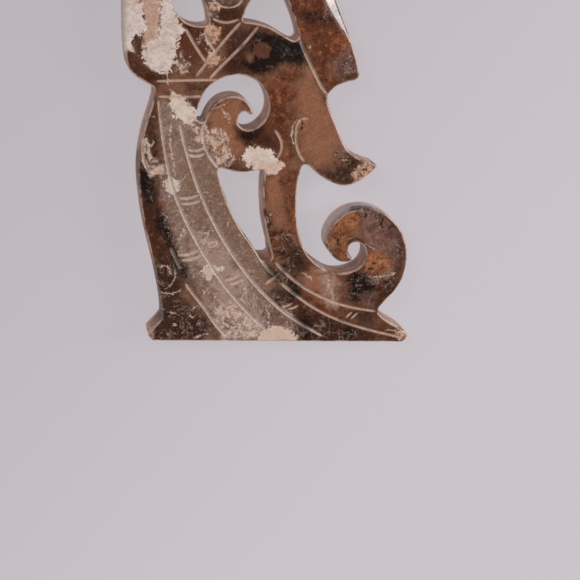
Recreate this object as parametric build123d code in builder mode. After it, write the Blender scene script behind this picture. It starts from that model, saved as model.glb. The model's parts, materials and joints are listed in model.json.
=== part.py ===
from build123d import *

import os

# Driving sizes of the plaque, in millimetres. It lies on its back: X to the right, Y towards the head,
# Z out of the carved front. The origin is the middle of its plan, on its back.
WIDTH = 54.2
HEIGHT = 80.0
THICKNESS = 5.0

# Roundings: the polished edge of both faces, the wide and the narrow inner corners, the sharp tips of the
# scroll, hip and hand, the two ends of the hem, and the end of the falling sleeve.
EDGE_ROUND = 0.4
NOTCH_RADIUS = 0.8
SLIT_RADIUS = 0.5
TIP_RADIUS = 0.35
HEM_RADIUS = 0.8
SLEEVE_CORNER_RADIUS = 1.0

# Hanging bore through the crown of the overhead sleeve, with its share across and up.
BORE_DIAMETER = 2.4
BORE_PLACE = (0.305, 0.942)

# Incised lines on both faces.
LINE_WIDTH = 0.45
LINE_DEPTH = 0.25
FACE_LINE_WIDTH = 0.35

# Places are shares of WIDTH from the left edge and of HEIGHT from the foot. Each run of the outline is
# one smooth curve from corner to corner, going round with the slab on its left.
WAIST_NOTCH = (0.108, 0.556)
HEEL_NOTCH = (0.173, 0.054)
HEEL_SIDE = (0.127, 0.016)
HEEL_UNDER = (0.146, 0.000)
TOE_UNDER = (0.981, 0.000)
TOE_TIP = (1.0057, 0.012)
TRAIN_NOTCH = (0.884, 0.075)
SCROLL_TONGUE = (0.793, 0.196)
BAY_APEX = (0.592, 0.412)
HAND_TIP = (0.836, 0.408)
CUFF_NOTCH = (0.650, 0.557)
CUFF_CORNER = (0.748, 0.593)

OUTLINE_RUNS = {
    "skirt_back": [
        WAIST_NOTCH, (0.104, 0.525), (0.092, 0.494), (0.077, 0.446), (0.071, 0.385), (0.080, 0.328),
        (0.103, 0.252), (0.132, 0.185), (0.155, 0.125), (0.168, 0.085), HEEL_NOTCH,
    ],
    "heel_top": [HEEL_NOTCH, (0.151, 0.034), HEEL_SIDE],
    "heel": [HEEL_SIDE, HEEL_UNDER],
    "foot": [HEEL_UNDER, TOE_UNDER],
    "toe": [TOE_UNDER, TOE_TIP],
    "train_top": [TOE_TIP, (0.961, 0.038), (0.918, 0.055), TRAIN_NOTCH],
    "scroll_outside": [
        TRAIN_NOTCH, (0.922, 0.108), (0.952, 0.139), (0.966, 0.200), (0.954, 0.239), (0.926, 0.271),
        (0.882, 0.296), (0.830, 0.309), (0.777, 0.307), (0.729, 0.290), (0.699, 0.263), (0.691, 0.231),
        (0.708, 0.205), (0.744, 0.188), SCROLL_TONGUE,
    ],
    "scroll_eye": [
        SCROLL_TONGUE, (0.766, 0.207), (0.766, 0.222), (0.786, 0.233), (0.812, 0.227), (0.827, 0.202),
        (0.810, 0.177), (0.768, 0.163), (0.721, 0.162), (0.680, 0.175), (0.640, 0.196), (0.607, 0.232),
        (0.588, 0.275), (0.579, 0.326), (0.580, 0.375), BAY_APEX,
    ],
    "hand_under": [BAY_APEX, (0.634, 0.388), (0.678, 0.370), (0.736, 0.360), (0.786, 0.374), HAND_TIP],
    "hand_top": [
        HAND_TIP, (0.776, 0.420), (0.741, 0.434), (0.713, 0.457), (0.678, 0.502), (0.654, 0.540), CUFF_NOTCH,
    ],
    "cuff": [CUFF_NOTCH, (0.675, 0.575), (0.715, 0.587), CUFF_CORNER],
    "sleeve_and_arm": [
        CUFF_CORNER, (0.729, 0.638), (0.677, 0.716), (0.648, 0.756), (0.598, 0.826), (0.540, 0.892),
        (0.455, 0.957), (0.375, 0.990), (0.290, 1.000), (0.200, 0.987), (0.107, 0.941), (0.042, 0.870),
        (0.008, 0.805), (0.000, 0.750), (0.004, 0.690), (0.014, 0.622), (0.030, 0.590), (0.062, 0.573),
        WAIST_NOTCH,
    ],
}

# Pierced gaps, each a ring of runs in the same form.
NECK_LEFT = (0.262, 0.692)
HAIR_LEFT = (0.240, 0.881)
NECK_RIGHT = (0.364, 0.701)
ARMPIT = (0.546, 0.664)
HAIR_RIGHT = (0.388, 0.880)
ARM_GAP_RUNS = [
    [NECK_LEFT, (0.257, 0.711), (0.241, 0.741), (0.222, 0.775), (0.215, 0.810), (0.221, 0.848), HAIR_LEFT],
    [HAIR_LEFT, (0.198, 0.872), (0.163, 0.845), (0.141, 0.806), (0.135, 0.770), (0.141, 0.737),
     (0.157, 0.717), (0.184, 0.697), (0.217, 0.688), NECK_LEFT],
]
SLEEVE_GAP_RUNS = [
    [NECK_RIGHT, (0.423, 0.697), (0.461, 0.689), (0.500, 0.675), ARMPIT],
    [ARMPIT, (0.523, 0.714), (0.497, 0.750), (0.468, 0.795), (0.434, 0.841), HAIR_RIGHT],
    [HAIR_RIGHT, (0.406, 0.846), (0.412, 0.809), (0.405, 0.775), (0.385, 0.746), NECK_RIGHT],
]

CRESCENT_HEEL_LOW = (0.266, 0.486)
CRESCENT_HEEL_HIGH = (0.241, 0.493)
HIP_TONGUE = (0.425, 0.501)
CRESCENT_RUNS = [
    [CRESCENT_HEEL_HIGH, (0.249, 0.529), (0.262, 0.552), (0.285, 0.570), (0.318, 0.584), (0.361, 0.591),
     (0.398, 0.587), (0.429, 0.575), (0.454, 0.554), (0.465, 0.528), (0.458, 0.503), (0.432, 0.482),
     (0.398, 0.475), (0.375, 0.486), (0.372, 0.503), (0.389, 0.514), (0.404, 0.510), HIP_TONGUE],
    [HIP_TONGUE, (0.416, 0.516), (0.405, 0.529), (0.378, 0.543), (0.338, 0.544), (0.304, 0.533),
     (0.279, 0.511), CRESCENT_HEEL_LOW],
    [CRESCENT_HEEL_LOW, CRESCENT_HEEL_HIGH],
]

GAP_LEFT = (0.319, 0.392)
GAP_RIGHT = (0.471, 0.391)
GAP_FOOT_RIGHT = (0.519, 0.188)
GAP_FOOT_LEFT = (0.484, 0.185)
SKIRT_GAP_RUNS = [
    [GAP_LEFT, (0.340, 0.389), (0.390, 0.383), (0.428, 0.386), GAP_RIGHT],
    [GAP_RIGHT, (0.469, 0.340), (0.474, 0.306), (0.483, 0.271), (0.498, 0.235), GAP_FOOT_RIGHT],
    [GAP_FOOT_RIGHT, GAP_FOOT_LEFT],
    [GAP_FOOT_LEFT, (0.457, 0.212), (0.408, 0.256), (0.370, 0.300), (0.340, 0.344), GAP_LEFT],
]

# Corners by how far they are rounded
NOTCHES = [WAIST_NOTCH, HEEL_NOTCH, TRAIN_NOTCH, BAY_APEX, CUFF_NOTCH, GAP_FOOT_LEFT, GAP_FOOT_RIGHT, ARMPIT]
SLITS = [
    NECK_LEFT, NECK_RIGHT, HAIR_LEFT, HAIR_RIGHT, GAP_LEFT, GAP_RIGHT, CRESCENT_HEEL_LOW, CRESCENT_HEEL_HIGH,
]
TIPS = [SCROLL_TONGUE, HAND_TIP, HIP_TONGUE]
HEM_CORNERS = [HEEL_SIDE, HEEL_UNDER, TOE_UNDER, TOE_TIP]

# Incised lines, each one smooth stroke through a few places.
DRESS_LINES = {
    "collar_under_left": [(0.190, 0.683), (0.226, 0.645), (0.262, 0.613)],
    "collar_under_right": [(0.250, 0.676), (0.264, 0.656), (0.291, 0.634)],
    "collar_over_low": [(0.359, 0.701), (0.313, 0.662), (0.268, 0.619), (0.231, 0.583)],
    "collar_over_high": [(0.414, 0.694), (0.363, 0.649), (0.306, 0.606), (0.272, 0.578)],
    "neck_ring": [(0.267, 0.706), (0.300, 0.698), (0.324, 0.699), (0.354, 0.706)],
    "belt_top": [(0.108, 0.570), (0.168, 0.573), (0.300, 0.579)],
    "belt_foot": [(0.118, 0.539), (0.162, 0.539), (0.257, 0.543)],
    "fold_back": [
        (0.121, 0.532), (0.144, 0.444), (0.193, 0.326), (0.279, 0.216), (0.408, 0.097), (0.515, 0.027),
    ],
    "fold_middle": [
        (0.191, 0.483), (0.227, 0.405), (0.304, 0.288), (0.412, 0.177), (0.541, 0.085), (0.648, 0.035),
        (0.708, 0.013),
    ],
    "fold_hip": [(0.083, 0.451), (0.083, 0.414), (0.090, 0.400), (0.105, 0.374)],
    "fold_calf": [(0.184, 0.215), (0.205, 0.188), (0.223, 0.164)],
    "fold_foot": [(0.239, 0.134), (0.270, 0.107), (0.309, 0.075), (0.349, 0.038), (0.395, 0.008)],
    "hip_edge": [(0.265, 0.487), (0.268, 0.461), (0.277, 0.432), (0.302, 0.406), (0.323, 0.388)],
    "skirt_edge": [(0.482, 0.187), (0.512, 0.164), (0.530, 0.153)],
    "train_high": [(0.526, 0.185), (0.597, 0.142), (0.692, 0.105), (0.790, 0.083), (0.883, 0.073)],
    "train_low": [(0.551, 0.137), (0.669, 0.080), (0.831, 0.035), (0.975, 0.012)],
    "train_cross": [(0.499, 0.132), (0.530, 0.151), (0.548, 0.163)],
    "column_curl": [(0.490, 0.478), (0.512, 0.457), (0.516, 0.433), (0.504, 0.415)],
    "hand_curl": [
        (0.599, 0.504), (0.570, 0.501), (0.559, 0.477), (0.564, 0.447), (0.580, 0.423), (0.597, 0.409),
    ],
    "sleeve_edge": [(0.543, 0.676), (0.564, 0.645), (0.594, 0.611), (0.628, 0.573), (0.651, 0.555)],
    "crown_fold_outer": [(0.056, 0.790), (0.083, 0.848), (0.140, 0.902), (0.215, 0.931)],
    "crown_fold_inner": [(0.390, 0.936), (0.448, 0.908), (0.508, 0.858), (0.556, 0.796), (0.590, 0.740)],
}

# Short pairs of curved lines across the folds: the first line of each pair, and the step to the second.
FOLD_TICKS = [
    ([(0.106, 0.393), (0.125, 0.387), (0.152, 0.397)], (0.003, -0.011)),
    ([(0.219, 0.430), (0.246, 0.427), (0.274, 0.434)], (0.003, -0.012)),
    ([(0.203, 0.323), (0.237, 0.324), (0.268, 0.332)], (0.006, -0.012)),
    ([(0.208, 0.196), (0.249, 0.200), (0.277, 0.209)], (0.012, -0.011)),
    ([(0.367, 0.141), (0.402, 0.148), (0.418, 0.155)], (0.016, -0.009)),
    ([(0.558, 0.082), (0.575, 0.083), (0.598, 0.092)], (0.020, -0.005)),
    ([(0.777, 0.056), (0.789, 0.064), (0.802, 0.073)], (0.019, -0.002)),
]

# Head: hairline, chin, brows, eyes, nose and mouth, on the head's own middle line.
HEAD_MIDDLE = 0.313
HEAD_LINES = {
    "hairline": [
        (-0.052, 0.772), (-0.050, 0.812), (-0.030, 0.838), (0.000, 0.846), (0.030, 0.838), (0.050, 0.812),
        (0.052, 0.772),
    ],
    "chin": [(-0.049, 0.757), (-0.034, 0.736), (0.000, 0.728), (0.034, 0.736), (0.049, 0.757)],
    "mouth": [(-0.014, 0.7525), (0.000, 0.7500), (0.014, 0.7525)],
    "nose_side": [(-0.008, 0.803), (-0.007, 0.790), (-0.010, 0.776)],
    "nose_foot": [(-0.011, 0.7695), (0.000, 0.7655), (0.011, 0.7695)],
}
HEAD_PAIRS = {
    "brow": [(0.013, 0.8130), (0.028, 0.8180), (0.042, 0.8120)],
    "eye": [(0.015, 0.7960), (0.027, 0.8020), (0.040, 0.7965)],
    "eyelid": [(0.015, 0.7960), (0.027, 0.7925), (0.040, 0.7965)],
    "side_hair": [(0.064, 0.780), (0.068, 0.818), (0.054, 0.853)],
}
HAIR_PARTING = [(0.000, 0.851), (0.000, 0.880)]


def place(spot):
    """Millimetres in the plaque's plan, from shares across and up."""
    across, up = spot
    return ((across - 0.5) * WIDTH, (up - 0.5) * HEIGHT)


def draw_run(spots):
    """One smooth curve through the spots, or a straight edge between two."""
    points = [place(spot) for spot in spots]
    if len(points) == 2:
        Line(*points)
    else:
        Spline(*points)


def corners_at(edges, spots):
    """The upright edges that stand at the given spots."""
    upright = edges.filter_by(Axis.Z)
    return [upright.sort_by_distance((*place(spot), THICKNESS / 2))[0] for spot in spots]


def ring_near(slab, spot, side):
    """The ring of edges round the back (side 0) or the front (side -1) which passes nearest the spot."""
    flat_face = slab.faces().filter_by(Plane.XY).sort_by(Axis.Z)[side]
    target = Vertex(*place(spot), flat_face.center().Z)
    return min(flat_face.wires(), key=lambda ring: ring.distance_to(target)).edges()


def mirrored(spots):
    """The same stroke on both sides of the head."""
    return [[(HEAD_MIDDLE + side * across, up) for across, up in spots] for side in (-1, 1)]


def dress_strokes():
    """Every stroke of the dress, with the second line of each pair."""
    strokes = list(DRESS_LINES.values())
    for spots, (step_across, step_up) in FOLD_TICKS:
        strokes.append(spots)
        strokes.append([(across + step_across, up + step_up) for across, up in spots])
    return strokes


def head_strokes():
    """Every stroke of the head."""
    strokes = [[(HEAD_MIDDLE + across, up) for across, up in spots] for spots in HEAD_LINES.values()]
    for spots in HEAD_PAIRS.values():
        strokes.extend(mirrored(spots))
    strokes.append([(HEAD_MIDDLE + across, up) for across, up in HAIR_PARTING])
    return strokes


def drawn_strokes(strokes, width, height):
    """Each stroke as a flat band of that width, on the plane at that height."""
    bands = []
    for spots in strokes:
        with BuildSketch(Plane.XY.offset(height)) as band:
            with BuildLine():
                draw_run(spots)
            trace(line_width=width)
        bands.extend(band.sketch.faces())
    return bands


# The slab with its outline, its pierced gaps and the hanging bore
with BuildPart() as dancer_plaque:
    with BuildSketch():
        with BuildLine():
            for spots in OUTLINE_RUNS.values():
                draw_run(spots)
        make_face()
        for runs in (ARM_GAP_RUNS, SLEEVE_GAP_RUNS, CRESCENT_RUNS, SKIRT_GAP_RUNS):
            with BuildLine():
                for spots in runs:
                    draw_run(spots)
            make_face(mode=Mode.SUBTRACT)
        with Locations(place(BORE_PLACE)):
            Circle(radius=BORE_DIAMETER / 2, mode=Mode.SUBTRACT)
    extrude(amount=THICKNESS)

    # Worn corners, before the faces' edges are rounded
    fillet(corners_at(dancer_plaque.edges(), NOTCHES), radius=NOTCH_RADIUS)
    fillet(corners_at(dancer_plaque.edges(), SLITS), radius=SLIT_RADIUS)
    fillet(corners_at(dancer_plaque.edges(), TIPS), radius=TIP_RADIUS)
    fillet(corners_at(dancer_plaque.edges(), HEM_CORNERS), radius=HEM_RADIUS)
    fillet(corners_at(dancer_plaque.edges(), [CUFF_CORNER]), radius=SLEEVE_CORNER_RADIUS)
    for side in (0, -1):
        for spot in (WAIST_NOTCH, NECK_LEFT, NECK_RIGHT, HIP_TONGUE, GAP_LEFT):
            fillet(ring_near(dancer_plaque.part, spot, side), radius=EDGE_ROUND)

    # Incised lines: dress and head on the front, the dress again on the back
    front_lines = drawn_strokes(dress_strokes(), LINE_WIDTH, THICKNESS)
    front_lines += drawn_strokes(head_strokes(), FACE_LINE_WIDTH, THICKNESS)
    extrude(front_lines, amount=-LINE_DEPTH, dir=(0, 0, 1), clean=False, mode=Mode.SUBTRACT)
    back_lines = drawn_strokes(dress_strokes(), LINE_WIDTH, 0)
    extrude(back_lines, amount=LINE_DEPTH, dir=(0, 0, 1), clean=False, mode=Mode.SUBTRACT)

os.makedirs("parts", exist_ok=True)
dancer_plaque.part.label = "dancer_plaque"
export_step(dancer_plaque.part, "parts/dancer_plaque.step")
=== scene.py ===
import json
import math

import bpy
import numpy as np
from mathutils import Matrix, Vector, noise
from mathutils.geometry import delaunay_2d_cdt
from mathutils.kdtree import KDTree


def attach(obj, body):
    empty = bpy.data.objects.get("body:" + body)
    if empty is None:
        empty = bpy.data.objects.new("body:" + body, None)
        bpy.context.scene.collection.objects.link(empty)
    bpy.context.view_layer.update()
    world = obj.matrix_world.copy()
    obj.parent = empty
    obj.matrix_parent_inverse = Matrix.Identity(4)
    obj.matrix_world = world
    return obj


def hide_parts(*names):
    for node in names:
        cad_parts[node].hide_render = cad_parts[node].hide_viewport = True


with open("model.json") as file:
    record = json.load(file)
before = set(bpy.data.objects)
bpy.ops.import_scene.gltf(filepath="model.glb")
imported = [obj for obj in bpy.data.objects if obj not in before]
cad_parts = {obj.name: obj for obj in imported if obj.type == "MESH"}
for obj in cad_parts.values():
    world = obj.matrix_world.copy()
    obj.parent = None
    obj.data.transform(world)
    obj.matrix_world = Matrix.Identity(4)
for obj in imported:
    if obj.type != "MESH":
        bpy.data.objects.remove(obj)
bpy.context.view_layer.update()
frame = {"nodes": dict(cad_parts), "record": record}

# Sizes in millimetres, the same as the solid's.
MM = 0.001
WIDTH = 54.2
HEIGHT = 80.0
THICKNESS = 5.0
EDGE_ROUND = 0.4

# Mesh steps in millimetres: along the outline, along the lines, and the open face's grid, front and back.
RING_STEP = 0.2
LINE_STEP = 0.22
FRONT_GRID = 0.40
BACK_GRID = 0.75
GRID_SHAKE = 0.18
BORE_SIDES = 44
WALL_LEVELS = 5
# Rows of mesh points: how far in from the outline, and how far beside a line, in its half widths.
RIM_INSETS = (0.015, 0.06, 0.14, 0.25, 0.38, 0.56)
FRONT_ROWS = (-1.45, -1.0, -0.55, 0.0, 0.55, 1.0, 1.45)
BACK_ROWS = (-1.0, -0.5, 0.5, 1.0)
VEIN_ROWS = (-1.0, 0.0, 1.0)
# The room between the rows, as shares of an inset or of the grid's step, and the least one in millimetres.
RIM_KEEP = 0.96
LINE_CLEAR = 1.15
GRID_CLEAR_RIM = 0.4
GRID_CLEAR_LINE = 0.45
CLOSEST = 0.085
# How far off the wall's upper edge a point may be and still count as on it, in millimetres.
LEVEL_SLACK = 0.004
# The kind of result that Blender's triangulation gives, and how close it merges points.
INSIDE_WITH_HOLES = 2
MERGE_DISTANCE = 1e-6
# The least squared length that is divided by.
TINY = 1e-12

# Incised lines: half width at the face, depth, and how long each end runs out.
LINE_HALF = 0.27
LINE_DEPTH = 0.2
FACE_LINE_HALF = 0.18
VEIN_HALF = 0.15
CRACK_HALF = 0.17
LINE_TAPER = 1.2
# A line's depth at its very end and the width that it would keep without depth, as shares of the full ones.
END_DEPTH = 0.25
BARE_WIDTH = 0.3
# How round a line's floor is: 1 is a parabola.
LINE_ROUND = 1.2
# The band that the pale fill takes: its reach in half widths, and how early it is full towards an end.
BAND_REACH = 1.35
BAND_LEAD = 1.3

# Incised lines, in shares of the width from the left edge and of the height from the foot.
DRESS_LINES = {
    "collar_under_left": [(0.190, 0.683), (0.226, 0.645), (0.262, 0.613)],
    "collar_under_right": [(0.250, 0.676), (0.264, 0.656), (0.291, 0.634)],
    "collar_over_low": [(0.359, 0.701), (0.313, 0.662), (0.268, 0.619), (0.231, 0.583)],
    "collar_over_high": [(0.414, 0.694), (0.363, 0.649), (0.306, 0.606), (0.272, 0.578)],
    "neck_ring": [(0.267, 0.706), (0.300, 0.698), (0.324, 0.699), (0.354, 0.706)],
    "belt_top": [(0.108, 0.570), (0.168, 0.573), (0.300, 0.579)],
    "belt_foot": [(0.118, 0.539), (0.162, 0.539), (0.257, 0.543)],
    "fold_back": [
        (0.121, 0.532), (0.144, 0.444), (0.193, 0.326), (0.279, 0.216), (0.408, 0.097), (0.515, 0.027),
    ],
    "fold_middle": [
        (0.191, 0.483), (0.227, 0.405), (0.304, 0.288), (0.412, 0.177), (0.541, 0.085), (0.648, 0.035),
        (0.708, 0.013),
    ],
    "fold_hip": [(0.083, 0.451), (0.083, 0.414), (0.090, 0.400), (0.105, 0.374)],
    "fold_calf": [(0.184, 0.215), (0.205, 0.188), (0.223, 0.164)],
    "fold_foot": [(0.239, 0.134), (0.270, 0.107), (0.309, 0.075), (0.349, 0.038), (0.395, 0.008)],
    "hip_edge": [(0.265, 0.487), (0.268, 0.461), (0.277, 0.432), (0.302, 0.406), (0.323, 0.388)],
    "skirt_edge": [(0.482, 0.187), (0.512, 0.164), (0.530, 0.153)],
    "train_high": [(0.526, 0.185), (0.597, 0.142), (0.692, 0.105), (0.790, 0.083), (0.883, 0.073)],
    "train_low": [(0.551, 0.137), (0.669, 0.080), (0.831, 0.035), (0.975, 0.012)],
    "train_cross": [(0.499, 0.132), (0.530, 0.151), (0.548, 0.163)],
    "column_curl": [(0.490, 0.478), (0.512, 0.457), (0.516, 0.433), (0.504, 0.415)],
    "hand_curl": [
        (0.599, 0.504), (0.570, 0.501), (0.559, 0.477), (0.564, 0.447), (0.580, 0.423), (0.597, 0.409),
    ],
    "sleeve_edge": [(0.543, 0.676), (0.564, 0.645), (0.594, 0.611), (0.628, 0.573), (0.651, 0.555)],
    "crown_fold_outer": [(0.056, 0.790), (0.083, 0.848), (0.140, 0.902), (0.215, 0.931)],
    "crown_fold_inner": [(0.390, 0.936), (0.448, 0.908), (0.508, 0.858), (0.556, 0.796), (0.582, 0.754)],
}
# Short pairs of lines across the folds: the first line, and the step from it to the second.
FOLD_TICKS = [
    ([(0.106, 0.393), (0.125, 0.387), (0.152, 0.397)], (0.003, -0.011)),
    ([(0.219, 0.430), (0.246, 0.427), (0.274, 0.434)], (0.003, -0.012)),
    ([(0.203, 0.323), (0.237, 0.324), (0.268, 0.332)], (0.006, -0.012)),
    ([(0.208, 0.196), (0.249, 0.200), (0.277, 0.209)], (0.012, -0.011)),
    ([(0.367, 0.141), (0.402, 0.148), (0.418, 0.155)], (0.016, -0.009)),
    ([(0.558, 0.082), (0.575, 0.083), (0.598, 0.092)], (0.020, -0.005)),
    ([(0.777, 0.056), (0.789, 0.064), (0.802, 0.073)], (0.019, -0.002)),
]
# Lines of the head, across from its middle. Pairs stand on both sides of it.
HEAD_MIDDLE = 0.313
HEAD_LINES = {
    "hairline": [
        (-0.052, 0.772), (-0.050, 0.812), (-0.030, 0.838), (0.000, 0.846), (0.030, 0.838), (0.050, 0.812),
        (0.052, 0.772),
    ],
    "chin": [(-0.049, 0.757), (-0.034, 0.736), (0.000, 0.728), (0.034, 0.736), (0.049, 0.757)],
    "mouth": [(-0.014, 0.7525), (0.000, 0.7500), (0.014, 0.7525)],
    "nose_side": [(-0.008, 0.803), (-0.007, 0.790), (-0.010, 0.776)],
    "nose_foot": [(-0.011, 0.7695), (0.000, 0.7655), (0.011, 0.7695)],
    "parting": [(0.000, 0.851), (0.000, 0.880)],
}
HEAD_PAIRS = {
    "brow": [(0.013, 0.8130), (0.028, 0.8180), (0.042, 0.8120)],
    "eye": [(0.015, 0.7960), (0.027, 0.8020), (0.040, 0.7965)],
    "eyelid": [(0.015, 0.7960), (0.027, 0.7925), (0.040, 0.7965)],
    "side_hair": [(0.064, 0.780), (0.068, 0.818), (0.054, 0.853)],
}

# A chalky and rosy patch in the middle of the foot, in plan millimetres.
BASE_PATCH = [
    (-0.5, -39.3), (0.3, -38.0), (1.8, -37.2), (3.9, -37.4), (5.6, -38.2), (6.7, -39.1), (6.4, -40.1),
    (-0.1, -40.1),
]
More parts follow.
